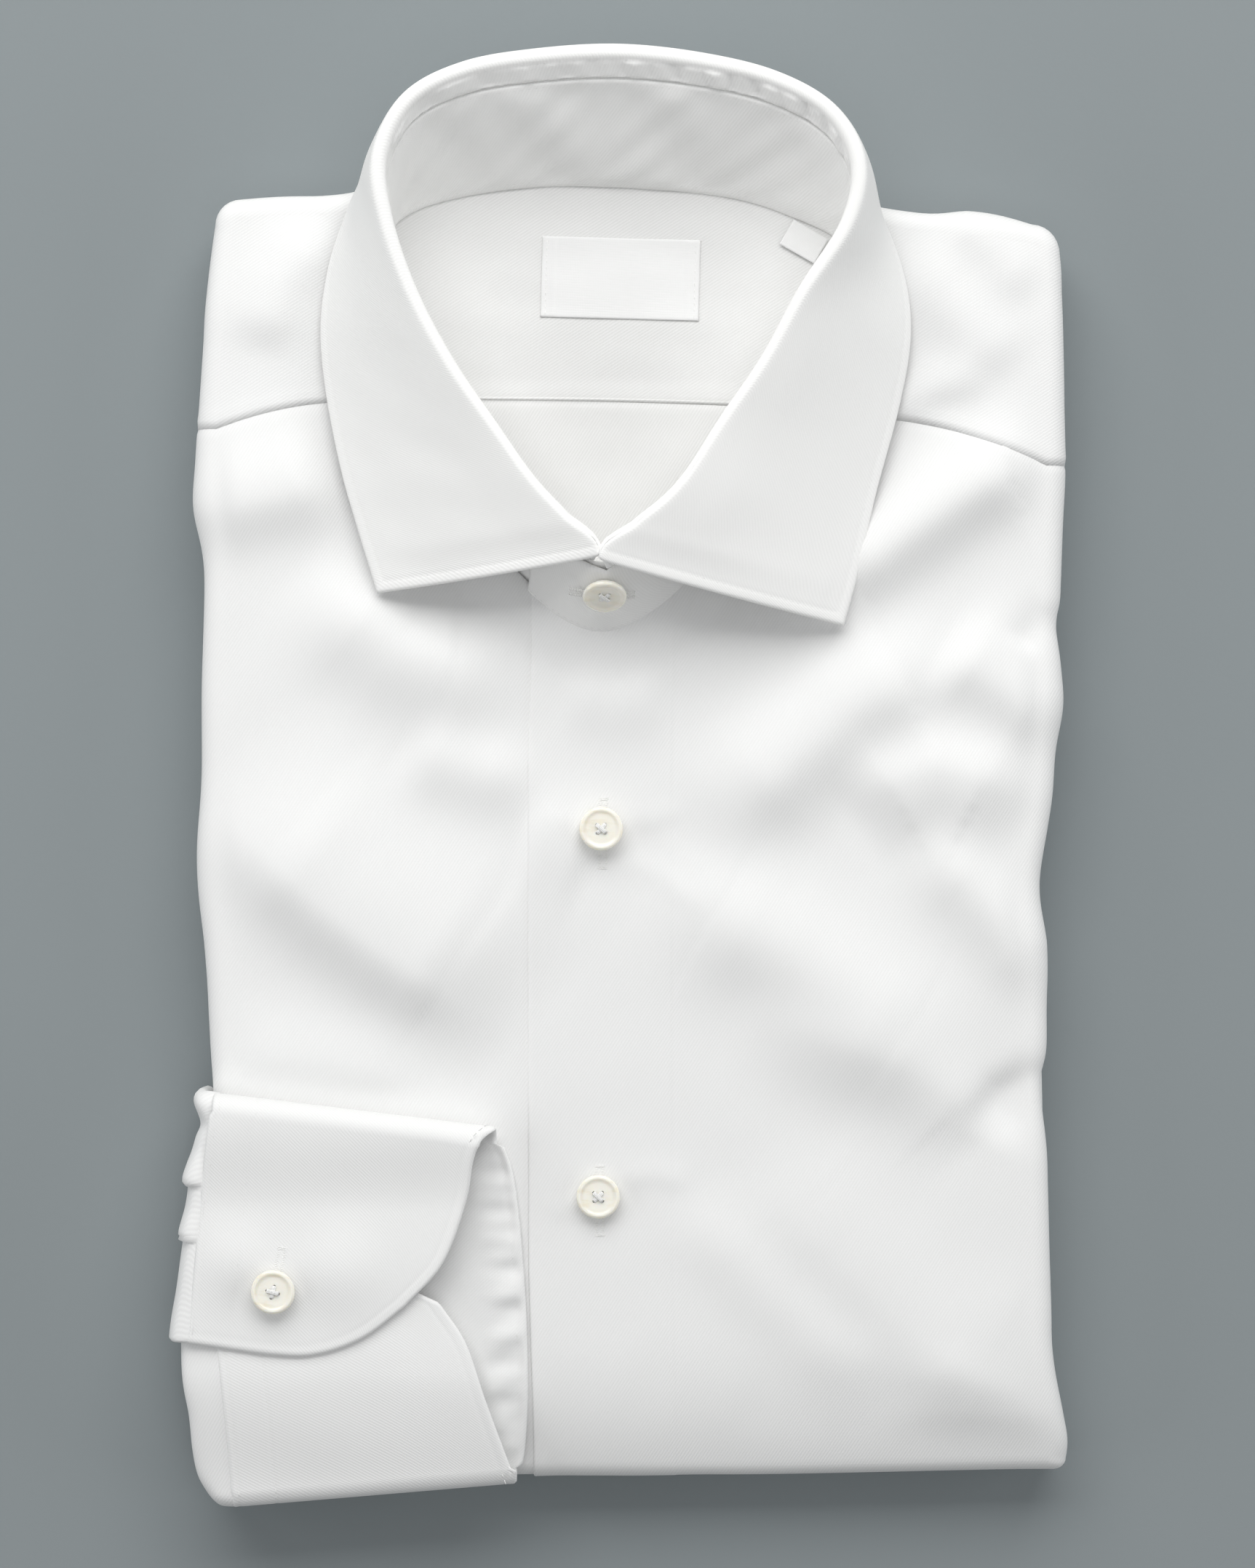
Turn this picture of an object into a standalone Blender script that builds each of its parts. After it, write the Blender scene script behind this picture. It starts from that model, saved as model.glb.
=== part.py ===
"""A dress shirt folded for the shelf: fronts up, collar standing in a ring, one cuff laid on the front.

Lengths are in millimetres until a mesh is made. X is to the right of someone who looks at the folded fronts,
Y runs from the hem fold to the collar, Z is up. The origin is the middle of the flat underside.
"""

import functools

import bmesh
import bpy
import numpy as np
from mathutils import Matrix, Vector

MM = 0.001

# Heights of the folded pile and thickness of its cloth
PILE = 25.0
CLOTH = 1.5
THIN_CLOTH = 1.2
SEAM_GAP = 0.3
EDGE_RADIUS = 5.0
HEM_FALL, HEM_START, HEM_RUN = 6.0, -141.0, 27.0
SHOULDER_FALL, SHOULDER_START, SHOULDER_RUN = 2.2, 132.0, 38.0
SIDE_FALL, SIDE_START, SIDE_RUN = 0.9, 84.0, 26.0

# The placket: the left front lies over the right one as wide as its facing
FACING = 37.0
STEP_RUN = 5.0
NECK_RISE, NECK_RISE_RUN = 2.5, 15.0

# The collar
STAND_CLOTH = 1.6
FALL_CLOTH = 1.8
ROLL_RADIUS = 1.7
STAND_BASE = 0.6
STAND_SHARE = 0.84
STAND_END = 0.055
OVERLAP_STEP = 2.1
OVERLAP_RISE = 2.9
LEAF_BELLY = 1.6

# The cuff: heights of the middle of its three layers above the pile
CUFF_CLOTH = 1.6
CUFF_BACK, CUFF_UNDER, CUFF_OVER = 1.2, 7.4, 9.3

# Buttons of 18 lignes
BUTTON_RADIUS, BUTTON_THICK, BUTTON_RIM, BUTTON_DISH = 5.7, 2.4, 1.3, 0.6
BUTTON_HOLE, BUTTON_HOLE_OUT = 0.65, 1.3
BUTTON_SIDES = 16

# Columns: y, left edge, right edge of the folded body
BODY_SIDES = (
    (170.0, -106.6, 111.0),
    (160.4, -109.0, 111.9),
    (139.8, -111.2, 113.4),
    (109.4, -113.1, 114.0),
    (94.2, -112.5, 113.7),
    (71.4, -111.5, 113.1),
    (41.0, -112.3, 111.6),
    (10.6, -112.3, 110.4),
    (-12.2, -112.7, 107.0),
    (-27.4, -111.5, 107.5),
    (-42.6, -110.6, 109.1),
    (-73.0, -109.2, 109.3),
    (-118.6, -110.2, 110.2),
    (-133.8, -110.6, 110.6),
    (-149.0, -110.6, 113.1),
    (-158.5, -110.6, 115.0),
    (-168.0, -110.6, 113.8),
)
# Columns: x, y of the shoulder fold, which rises behind the collar
TOP_FOLD = (
    (-107.0, 168.0),
    (-74.0, 170.0),
    (-58.0, 176.6),
    (-35.0, 182.0),
    (-6.0, 183.6),
    (25.0, 180.8),
    (48.0, 173.0),
    (64.0, 166.6),
    (97.7, 162.3),
    (111.9, 160.4),
)
# Columns: x, y of the fold at the hem end
HEM_FOLD = (
    (-110.6, -168.0),
    (-27.0, -166.8),
    (-10.0, -166.7),
    (35.0, -166.8),
    (92.0, -165.6),
    (113.8, -165.5),
)
# Columns: x, y of the seam between yoke and front on the left of the picture, then on the right
YOKE_SEAM_LEFT = (
    (-113.2, 105.6),
    (-107.5, 107.9),
    (-98.0, 111.0),
    (-88.5, 113.2),
    (-79.4, 114.4),
    (-58.1, 116.1),
)
YOKE_SEAM_RIGHT = ((44.5, 112.3), (68.8, 109.8), (82.5, 107.5), (97.7, 102.8), (109.1, 98.0), (113.6, 95.2))
# Columns: x, y of the seam between the inner yoke and the back
INNER_YOKE_SEAM = ((-62.0, 116.0), (-12.5, 115.7), (25.5, 115.0), (50.0, 114.5))

# Columns: x, y of the neck seam, from the centre front round by the left of the picture
NECK_SEAM = (
    (-7.6, 56.6),
    (-29.3, 70.5),
    (-45.8, 93.3),
    (-58.1, 116.1),
    (-64.2, 136.0),
    (-63.8, 156.9),
    (-55.3, 166.0),
    (-33.4, 171.2),
    (-6.8, 172.2),
    (25.5, 169.4),
    (44.5, 163.4),
    (56.0, 156.9),
    (60.0, 149.3),
    (54.9, 133.2),
    (44.5, 112.3),
    (31.2, 91.4),
    (15.0, 70.5),
)
# Columns: x, y, z where the stand turns over into the fall, the same way round
ROLL_LINE = (
    (-9.5, 75.2, 46.6),
    (-20.3, 85.2, 47.2),
    (-32.8, 103.8, 47.9),
    (-45.4, 122.4, 48.7),
    (-55.1, 141.0, 49.2),
    (-61.3, 159.6, 49.6),
    (-62.6, 175.0, 49.8),
    (-55.6, 189.0, 50.1),
    (-42.0, 196.4, 50.2),
    (-24.0, 199.6, 50.5),
    (-3.0, 200.8, 50.6),
    (18.0, 198.6, 50.5),
    (36.6, 194.0, 50.2),
    (50.2, 186.0, 50.0),
    (56.8, 173.4, 49.7),
    (54.4, 158.6, 49.3),
    (43.5, 141.0, 48.9),
    (33.3, 122.4, 48.4),
    (20.3, 103.8, 47.8),
    (7.2, 85.2, 47.1),
    (-5.8, 74.0, 46.6),
)
# Columns: x, y, z of the free edge of the fall, from one collar point round the back to the other
LEAF_EDGE = (
    (-65.7, 64.4, 29.9),
    (-71.4, 82.8, 28.9),
    (-75.6, 98.0, 28.2),
    (-79.3, 117.5, 27.6),
    (-80.5, 134.0, 27.3),
    (-78.6, 148.6, 26.8),
    (-75.0, 160.0, 26.3),
    (-70.6, 170.0, 24.0),
    (-62.0, 179.6, 16.5),
    (-46.0, 184.8, 11.5),
    (-22.0, 186.2, 10.0),
    (4.0, 186.2, 10.0),
    (28.0, 185.0, 10.5),
    (46.0, 180.8, 13.0),
    (58.6, 173.2, 20.6),
    (66.0, 161.0, 26.3),
    (71.6, 146.0, 26.8),
    (73.0, 131.0, 27.4),
    (70.1, 113.2, 28.0),
    (64.0, 90.4, 28.9),
    (59.3, 69.5, 29.7),
    (55.5, 55.9, 30.2),
)

# Soft folds of the fronts. Columns: x0, y0 to x1, y1 of the ridge, its half width and its height
FOLDS = (
    (-84.0, 92.0, -52.0, 80.0, 9.0, 1.3),
    (-100.0, 76.0, -84.0, 58.0, 8.0, 1.5),
    (-70.0, 62.0, -30.0, 27.0, 13.0, 1.7),
    (-108.0, 6.0, -36.0, -46.0, 12.0, 2.2),
    (-92.0, -24.0, -50.0, -52.0, 11.0, 1.4),
    (106.0, 92.0, 66.0, 76.0, 12.0, 2.0),
    (98.0, 66.0, 40.0, 30.0, 13.0, 1.4),
    (8.0, -2.0, 96.0, -36.0, 13.0, 2.0),
    (104.0, -56.0, 90.0, -70.0, 7.0, 1.7),
    (34.0, -74.0, 100.0, -112.0, 17.0, 1.6),
    (20.0, -128.0, 104.0, -146.0, 12.0, 1.0),
)

# Columns: x, y of the wrist edge of the cuff's back layer, from the bottom fold to the top one
CUFF_BACK_WRIST = (
    (-29.6, -167.2),
    (-27.6, -160.0),
    (-26.6, -141.4),
    (-27.5, -114.8),
    (-30.2, -88.2),
    (-34.8, -74.9),
)
# Columns: x, y of the rounded wrist end of the over layer, from the top fold to its lower edge
CUFF_OVER_WRIST = ((-34.8, -74.9), (-41.8, -93.9), (-49.4, -109.6), (-58.6, -120.8))
CUFF_OVER_FOOT = ((-114.8, -130.3), (-92.3, -133.4), (-80.9, -133.2), (-69.5, -129.0), (-58.6, -120.8))
# Columns: x, y of the rounded wrist end of the under layer, from the bottom fold up to its hidden edge
CUFF_UNDER_WRIST = ((-29.6, -167.2), (-37.2, -146.1), (-42.6, -130.4), (-49.6, -119.8))
CUFF_UNDER_HEAD = ((-109.0, -115.0), (-80.0, -113.0), (-64.0, -113.8), (-49.6, -119.8))
# Columns: x, y of the seam between sleeve and cuff on the over layer and on the under layer
CUFF_OVER_SEAM = ((-108.1, -65.9), (-110.6, -85.0), (-114.8, -130.3))
CUFF_UNDER_SEAM = ((-103.7, -173.5), (-105.4, -150.0), (-109.0, -115.0))

# The sleeve comes round the edge. Columns: y, how far left it reaches, on the over and on the under layer
SLEEVE_OVER_REACH = (
    (-60.0, -113.6),
    (-66.5, -113.8),
    (-73.5, -112.4),
    (-88.4, -115.9),
    (-89.6, -114.9),
    (-102.8, -117.0),
    (-104.2, -116.2),
    (-127.5, -119.7),
    (-131.0, -119.2),
)
SLEEVE_UNDER_REACH = (
    (-110.0, -116.4),
    (-136.6, -116.8),
    (-150.0, -115.0),
    (-159.4, -114.2),
    (-166.0, -112.9),
    (-171.4, -109.9),
    (-175.0, -107.6),
)
# The sleeve's way over the edge, inner and outer layer. Columns: x from the body's edge or from its reach, z
SLEEVE_INNER_WAY = ((0.4, 24.8), (-1.2, 20.5), (-1.3, 14.5), (-1.2, 9.5), (-0.8, 6.5))
SLEEVE_OUTER_WAY = ((2.0, 32.3), (0.3, 27.2), (0.0, 19.5), (0.2, 11.5), (0.4, 6.0))

# Trims
LABEL_SIZE, LABEL_PLACE, LABEL_TURN = (41.4, 21.3), (-2.5, 146.9), -1.5
TAB_SIZE, TAB_PLACE, TAB_TURN = (10.5, 7.5), (45.4, 156.6), -30.0
TRIM_THICK = 1.0

# Places of the buttons
BUTTON_1, BUTTON_2, BUTTON_CUFF, BUTTON_COLLAR_Y = (-7.5, 3.2), (-8.3, -92.7), (-92.3, -116.5), 63.5


@functools.lru_cache(maxsize=None)
def fine_curve(rows, closed=False):
    """A smooth curve through the rows as many points, with the length reached at each."""
    rows = np.array(rows, float)
    if closed:
        rows = np.vstack([rows, rows[:1]])
    before = rows[-2] if closed else 2 * rows[0] - rows[1]
    after = rows[1] if closed else 2 * rows[-1] - rows[-2]
    knots = np.vstack([before, rows, after])
    t = np.linspace(0, 1, 25)[:-1, None]
    runs = [
        0.5 * (2 * b + (c - a) * t + (2 * a - 5 * b + 4 * c - d) * t**2 + (3 * b - a - 3 * c + d) * t**3)
        for a, b, c, d in zip(knots, knots[1:], knots[2:], knots[3:])
    ]
    points = np.vstack(runs + [rows[-1:]])
    return points, np.concatenate([[0], np.cumsum(np.linalg.norm(np.diff(points, axis=0), axis=1))])


def curve_at(rows, share, closed=False):
    """Points of the smooth curve through the rows at shares of its length."""
    points, length = fine_curve(rows, closed)
    share = np.asarray(share, float)
    at = (share % 1.0 if closed else share) * length[-1]
    return np.stack([np.interp(at, length, points[:, k]) for k in range(points.shape[1])], axis=-1)


def curve(rows, count):
    return curve_at(rows, np.linspace(0, 1, count))


def along(rows, value, key=0, read=1):
    """Reads one column of the smooth curve through the rows at a value of another column."""
    points, _ = fine_curve(rows)
    order = np.argsort(points[:, key])
    return np.interp(value, points[order, key], points[order, read])


def ease(t):
    t = np.clip(t, 0, 1)
    return t * t * (3 - 2 * t)


def blend(a, b, t):
    return a + (b - a) * t


def left_edge(y):
    return along(BODY_SIDES, y, 0, 1)


def right_edge(y):
    return along(BODY_SIDES, y, 0, 2)


def from_neck(x, y):
    """Distance from the neck seam, seen from above."""
    ring = curve_at(NECK_SEAM, np.linspace(0, 1, 200), closed=True)
    return np.min(np.hypot(np.subtract.outer(x, ring[:, 0]), np.subtract.outer(y, ring[:, 1])), axis=-1)


def bed(x, y):
    """Height of the pile's top before folds: level, and lower at the hem, shoulders and sides."""
    fall = HEM_FALL * ease((HEM_START - y) / HEM_RUN)
    fall = fall + SHOULDER_FALL * ease((y - SHOULDER_START) / SHOULDER_RUN)
    return PILE - fall - SIDE_FALL * ease((np.abs(x - 0.5) - SIDE_START) / SIDE_RUN)


def folds(x, y):
    """Soft ridges of the fronts, fading out at the edges, at the neck and under the cuff."""
    total = np.zeros(np.broadcast(x, y).shape)
    for x0, y0, x1, y1, width, height in FOLDS:
        dx, dy = x1 - x0, y1 - y0
        part = np.clip(((x - x0) * dx + (y - y0) * dy) / (dx * dx + dy * dy), 0, 1)
        away = np.hypot(x - x0 - part * dx, y - y0 - part * dy)
        total = np.maximum(total, height * np.exp(-((away / width) ** 2)))
    clear = ease((x - left_edge(y) - EDGE_RADIUS) / 9) * ease((right_edge(y) - EDGE_RADIUS - x) / 9)
    clear = clear * ease((from_neck(x, y) - 4) / 10) * ease((y + 150) / 10)
    under_cuff = ease((-14 - x) / 8) * ease((-52 - y) / 10)
    return total * clear * (1 - under_cuff)


def front_height(x, y):
    """Top of the cloth where one layer lies on the pile."""
    rise = NECK_RISE * (1 - ease((from_neck(x, y) - 1) / NECK_RISE_RUN)) * (1 - ease((y - 142) / 22))
    return bed(x, y) + rise + folds(x, y)


def placket_x(y):
    """The left front's free edge."""
    return -26.6 + 1.0 * ease((y - 20) / 40) + 1.3 * ease((-104 - y) / 60)


def over_height(x, y):
    """Top of the left front: one cloth higher where it lies over the right front."""
    lift = (CLOTH + SEAM_GAP) * (1 - ease((x - placket_x(y) - FACING - 0.6) / STEP_RUN))
    return front_height(x, y) + lift


def ring_at(out, share):
    """Points of the neck seam moved outwards, at shares of its length."""
    here = curve_at(NECK_SEAM, share, closed=True)
    way = curve_at(NECK_SEAM, share + 0.004, closed=True) - curve_at(NECK_SEAM, share - 0.004, closed=True)
    way /= np.linalg.norm(way, axis=1)[:, None]
    return here + np.stack([-way[:, 1], way[:, 0]], axis=1) * np.reshape(out, (-1, 1))


def neck_ring(out, start, end, count):
    return ring_at(out, np.linspace(start, end, count))


def share_at(x, left_side):
    """Share of the neck seam's length where it reaches x on one side of the front."""
    share = np.linspace(0.02, 0.24, 200) if left_side else np.linspace(0.98, 0.78, 200)
    ring = curve_at(NECK_SEAM, share, closed=True)
    return share[np.argmin(np.abs(ring[:, 0] - x))]


def coons(near, far, left, right, fade=1):
    """A grid of points between four edges: near and far run one way, left and right join them.

    With more fade, the bends of left and right reach less far into the grid.
    """
    near, far, left, right = (np.asarray(edge, float) for edge in (near, far, left, right))
    u = np.linspace(0, 1, len(near))[None, :, None]
    v = np.linspace(0, 1, len(left))[:, None, None]
    bend_left = left[:, None] - blend(near[0], far[0], v)
    bend_right = right[:, None] - blend(near[-1], far[-1], v)
    return blend(near[None], far[None], v) + (1 - u) ** fade * bend_left + u**fade * bend_right


def material(name, colour, roughness):
    made = bpy.data.materials.new(name)
    made.use_nodes = True
    shader = made.node_tree.nodes["Principled BSDF"]
    shader.inputs["Base Color"].default_value = (*colour, 1)
    shader.inputs["Roughness"].default_value = roughness
    shader.inputs["Metallic"].default_value = 0
    made.diffuse_color = (*colour, 1)
    return made


def new_object(name, points, faces, colour, roughness=0.85):
    mesh = bpy.data.meshes.new(name)
    mesh.from_pydata([tuple(p) for p in np.asarray(points, float) * MM], [], [tuple(f) for f in faces])
    mesh.validate()
    mesh.shade_smooth()
    mesh.set_sharp_from_angle(angle=np.radians(50))
    mesh.materials.append(material(name, colour, roughness))
    made = bpy.data.objects.new(name, mesh)
    bpy.context.scene.collection.objects.link(made)
    return made


def wall(name, points, faces, thick, offset, colour, face_up=True):
    """A piece of cloth: an open surface given its thickness by Solidify."""
    made = new_object(name, points, faces, colour)
    edit = bmesh.new()
    edit.from_mesh(made.data)
    bmesh.ops.recalc_face_normals(edit, faces=edit.faces)
    upward = sum(face.normal.z * face.calc_area() for face in edit.faces)
    if (upward > 0) != face_up:
        bmesh.ops.reverse_faces(edit, faces=edit.faces)
    edit.to_mesh(made.data)
    edit.free()
    solidify = made.modifiers.new("Cloth", "SOLIDIFY")
    solidify.thickness = thick * MM
    solidify.offset = offset
    return made


def grid_faces(rows, columns):
    corners = [r * columns + c for r in range(rows - 1) for c in range(columns - 1)]
    return [(k, k + 1, k + columns + 1, k + columns) for k in corners]


def grid_wall(name, grid, thick, colour, face_up=True):
    rows, columns = grid.shape[:2]
    return wall(name, grid.reshape(-1, 3), grid_faces(rows, columns), thick, 0, colour, face_up)


FOLD_TURNS = np.radians((30, 60, 90, 120, 150))
CORNER_TURNS = (30, 60)


def corner_ways(first, last):
    """Directions that fan round a corner, from one side's to the next one's."""
    first, last = np.array(first, float), np.array(last, float)
    quarter = np.radians(90)
    return [
        (np.sin(quarter - np.radians(a)) * first + np.sin(np.radians(a)) * last) for a in CORNER_TURNS
    ]


def folded_panel(name, grid, rim, colour):
    """A panel of cloth whose rim turns down over the pile's edge. rim lists (row, column, direction).

    Where the panel lies a step higher, over another one, it turns with that much more radius.
    """
    rows, columns = grid.shape[:2]
    points = [tuple(p) for p in grid.reshape(-1, 3)]
    faces = grid_faces(rows, columns)
    rings = []
    for row, column, way in rim:
        base = grid[row, column]
        ring = [row * columns + column]
        radius = EDGE_RADIUS + float(base[2] - front_height(base[0], base[1]))
        for turn in FOLD_TURNS * (EDGE_RADIUS / radius) ** 0.5:
            out = radius * np.sin(turn)
            down = radius * (1 - np.cos(turn))
            ring.append(len(points))
            points.append((base[0] + way[0] * out, base[1] + way[1] * out, base[2] - down))
        rings.append(ring)
    for one, other in zip(rings, rings[1:]):
        for k in range(len(FOLD_TURNS)):
            face = [one[k], other[k], other[k + 1], one[k + 1]]
            faces.append(tuple(dict.fromkeys(face)))
    return wall(name, points, faces, CLOTH, -1, colour)


LEFT, RIGHT, TOP, FOOT = (-1, 0), (1, 0), (0, 1), (0, -1)
YOKE_START = 0.212
RIGHT_FRONT_SHARES = np.array((0.1, 0.22, 0.36, 0.5, 0.62, 0.72, 0.82, 0.91, 1))
LEFT_FRONT_SHARES = np.array((0.35, 0.68))
ROW_SHARES = np.array(
    (0, 0.04, 0.1, 0.17, 0.24, 0.31, 0.38, 0.45, 0.52, 0.59, 0.66, 0.73, 0.79, 0.84, 0.88, 0.91, 0.94, 0.97, 1)
)


def front_grid(columns_x, top_y, foot_y, height):
    """A front: columns_x gives each column's x at heights y, top_y and foot_y its ends."""
    count = len(columns_x(0.0))
    grid = np.zeros((len(ROW_SHARES), count, 3))
    for column in range(count):
        y = blend(70.0, -160.0, ROW_SHARES)
        for _ in range(6):
            x = np.array([columns_x(each)[column] for each in y])
            y = blend(top_y(x[0]), foot_y(x[-1]), ROW_SHARES)
        grid[:, column] = np.stack([x, y, height(x, y)], axis=1)
    return grid


def foot_y(x):
    return along(HEM_FOLD, x) + EDGE_RADIUS


def make_front_right():
    """The wearer's right front, under the other one at the placket. Returns its seam with the yoke."""
    corner = neck_ring(1.2, YOKE_START, YOKE_START, 1)[0]
    inner = placket_x(0.0) + FACING
    edge = left_edge(YOKE_SEAM_LEFT[2][1]) + EDGE_RADIUS
    corner_share = (corner[0] - edge) / (inner - edge)
    shares = np.concatenate([np.linspace(0, corner_share, SHOULDER_COLUMNS), blend(corner_share, 1, RIGHT_FRONT_SHARES)])

    def columns_x(y):
        return blend(left_edge(y) + EDGE_RADIUS, inner, shares)

    neck = neck_ring(1.2, 0.0, YOKE_START, 80)
    past = neck_ring(1.2, share_at(inner, False), 1.0, 30)
    seam = curve(YOKE_SEAM_LEFT, 60)
    top = np.vstack([seam[seam[:, 0] < neck[-1, 0] - 0.5], neck[::-1], past[::-1][1:]])
    top = top[np.argsort(top[:, 0])]

    def top_y(x):
        return np.interp(x, top[:, 0], top[:, 1]) - SEAM_GAP / 2

    grid = front_grid(columns_x, top_y, foot_y, front_height)
    rows, columns = grid.shape[:2]
    rim = [(row, 0, LEFT) for row in range(rows)]
    rim += [(rows - 1, 0, way) for way in corner_ways(LEFT, FOOT)]
    rim += [(rows - 1, column, FOOT) for column in range(columns)]
    folded_panel("front_right", grid, rim, (0.80, 0.81, 0.82))
    return grid[0, :SHOULDER_COLUMNS, :2][::-1]


def make_front_left():
    """The wearer's left front, over the other one at the placket. Returns its seam with the yoke."""
    steps = np.array((0, 11.0, 22.0, 32.0, FACING, FACING + 2.0, FACING + 4.0, FACING + 6.5))
    corner = neck_ring(1.2, 1 - YOKE_START, 1 - YOKE_START, 1)[0]
    edge = right_edge(YOKE_SEAM_RIGHT[2][1]) - EDGE_RADIUS
    first = placket_x(60.0) + steps[-1]
    corner_share = (corner[0] - first) / (edge - first)
    shares = np.concatenate([corner_share * LEFT_FRONT_SHARES, np.linspace(corner_share, 1, SHOULDER_COLUMNS)])

    def columns_x(y):
        stepped = placket_x(y) + steps
        return np.concatenate([stepped, blend(stepped[-1], right_edge(y) - EDGE_RADIUS, shares)])

    start = share_at(placket_x(66.0), True)
    share = np.linspace(start + 0.012, -YOKE_START, 160)
    ring = neck_ring(1.2 + 0.5 * (1 - ease((-share - 0.03) / 0.06)), share[0], share[-1], 160)
    seam = curve(YOKE_SEAM_RIGHT, 60)
    top = np.vstack([ring, seam[seam[:, 0] > ring[-1, 0] + 0.5]])
    top = top[np.argsort(top[:, 0])]

    def top_y(x):
        return np.interp(x, top[:, 0], top[:, 1]) - SEAM_GAP / 2

    grid = front_grid(columns_x, top_y, foot_y, over_height)
    rows, columns = grid.shape[:2]
    rim = [(rows - 1, column, FOOT) for column in range(columns)]
    rim += [(rows - 1, columns - 1, way) for way in corner_ways(FOOT, RIGHT)]
    rim += [(row, columns - 1, RIGHT) for row in reversed(range(rows))]
    folded_panel("front_left", grid, rim, (0.84, 0.84, 0.84))
    return grid[0, -SHOULDER_COLUMNS:, :2]


YOKE_SIDE_COLUMNS, YOKE_TOP_COLUMNS, SHOULDER_COLUMNS = 6, 18, 5


def yoke_outline(foot_left, foot_right):
    """Inner line of the yoke's folded rim: up the left side, over the shoulders, down the right side."""
    y_left = np.linspace(foot_left, TOP_FOLD[0][1] - EDGE_RADIUS, YOKE_SIDE_COLUMNS)
    y_right = np.linspace(TOP_FOLD[-1][1] - EDGE_RADIUS, foot_right, YOKE_SIDE_COLUMNS)
    left = np.stack([left_edge(y_left) + EDGE_RADIUS, y_left], axis=1)
    right = np.stack([right_edge(y_right) - EDGE_RADIUS, y_right], axis=1)
    x_top = np.linspace(left[-1, 0], right[0, 0], YOKE_TOP_COLUMNS)
    top = np.stack([x_top, along(TOP_FOLD, x_top) - EDGE_RADIUS], axis=1)
    return np.vstack([left, top[1:-1], right])


def yoke_shares(outline):
    """Where each of the yoke's columns starts on the neck seam: mostly at the point nearest to its other end."""
    even = np.linspace(YOKE_START, 1 - YOKE_START, len(outline))
    tried = np.linspace(YOKE_START, 1 - YOKE_START, 400)
    ring = curve_at(NECK_SEAM, tried, closed=True)
    nearest = [tried[np.argmin(np.hypot(*(ring - point).T))] for point in outline]
    return blend(even, np.maximum.accumulate(nearest), 0.7)


def make_yoke(seam_left, seam_right):
    """The outer yoke, a horseshoe round the neck that turns down over the shoulder fold."""
    seam_left, seam_right = seam_left + (0, SEAM_GAP), seam_right + (0, SEAM_GAP)
    outline = yoke_outline(seam_left[-1, 1], seam_right[-1, 1])
    share = yoke_shares(outline)
    under_stand = ease((0.5 - YOKE_START - np.abs(share - 0.5)) / 0.08)
    neck = ring_at(1.2 + 1.3 * under_stand, share)
    neck[0], neck[-1] = seam_left[0], seam_right[0]
    outline[0], outline[-1] = seam_left[-1], seam_right[-1]
    flat = coons(neck, outline, seam_left, seam_right, 8)
    grid = np.dstack([flat, front_height(flat[..., 0], flat[..., 1])])
    rows, columns = grid.shape[:2]
    last = rows - 1
    corner_left = YOKE_SIDE_COLUMNS - 1
    corner_right = columns - YOKE_SIDE_COLUMNS
    rim = [(last, column, LEFT) for column in range(corner_left + 1)]
    rim += [(last, corner_left, way) for way in corner_ways(LEFT, TOP)]
    rim += [(last, column, TOP) for column in range(corner_left, corner_right + 1)]
    rim += [(last, corner_right, way) for way in corner_ways(TOP, RIGHT)]
    rim += [(last, column, RIGHT) for column in range(corner_right, columns)]
    folded_panel("yoke", grid, rim, (0.86, 0.86, 0.85))


def tuck(share):
    """How far the lining reaches under the fronts: nothing at the back of the neck."""
    y = curve_at(NECK_SEAM, share, closed=True)[:, 1]
    return 3.0 * (1 - ease((y - 128) / 14))


def tucked_ring(start, end, count):
    return neck_ring(tuck(np.linspace(start, end, count)), start, end, count)


def on_lining(flat, lift):
    """Points at a height above the top of the lining."""
    return np.dstack([flat, bed(flat[..., 0], flat[..., 1]) - SEAM_GAP + lift])


def make_lining(name, right_start, far_left, far_right, shift, colour):
    """A lining seen in the neck, from the inner yoke seam to the stretch of the neck seam between two shares."""
    left = tucked_ring(YOKE_START, far_left, 8)
    right = tucked_ring(right_start, far_right, 8)
    seam_x = np.linspace(left[0, 0], right[0, 0], 12)
    seam = np.stack([seam_x, along(INNER_YOKE_SEAM, seam_x) + shift], axis=1)
    left[0], right[0] = seam[0], seam[-1]
    flat = coons(seam, tucked_ring(far_left, far_right, 12), left, right)
    grid_wall(name, on_lining(flat, -THIN_CLOTH / 2), THIN_CLOTH, colour)


def trim_grid(size, place, turn, columns, rows):
    """A flat trim on the lining."""
    x, y = np.meshgrid(np.linspace(-0.5, 0.5, columns) * size[0], np.linspace(0.5, -0.5, rows) * size[1])
    c, s = np.cos(np.radians(turn)), np.sin(np.radians(turn))
    return on_lining(np.dstack([place[0] + c * x - s * y, place[1] + s * x + c * y]), SEAM_GAP + TRIM_THICK / 2)


def neck_frame(share, over):
    """Foot, top and outward direction of the collar stand at shares of the neck seam."""
    share = np.asarray(share, float)
    foot = curve_at(NECK_SEAM, share, closed=True)
    foot = np.column_stack([foot, bed(foot[:, 0], foot[:, 1]) + STAND_BASE])
    top = curve_at(ROLL_LINE, np.where(share > 1, share - 1, np.where(share < 0, share + 1, share)))
    step = ease((share - 0.86) / 0.1) * over
    way = curve_at(NECK_SEAM, share + 0.004, closed=True) - curve_at(NECK_SEAM, share - 0.004, closed=True)
    up = top - foot
    up /= np.linalg.norm(up, axis=1)[:, None]
    out = np.cross(up, np.column_stack([way, np.zeros(len(way))]))
    out /= np.linalg.norm(out, axis=1)[:, None]
    shift = out * (OVERLAP_STEP * step)[:, None]
    return foot + shift + up * (OVERLAP_RISE * step)[:, None], top + shift, up, out


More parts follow.
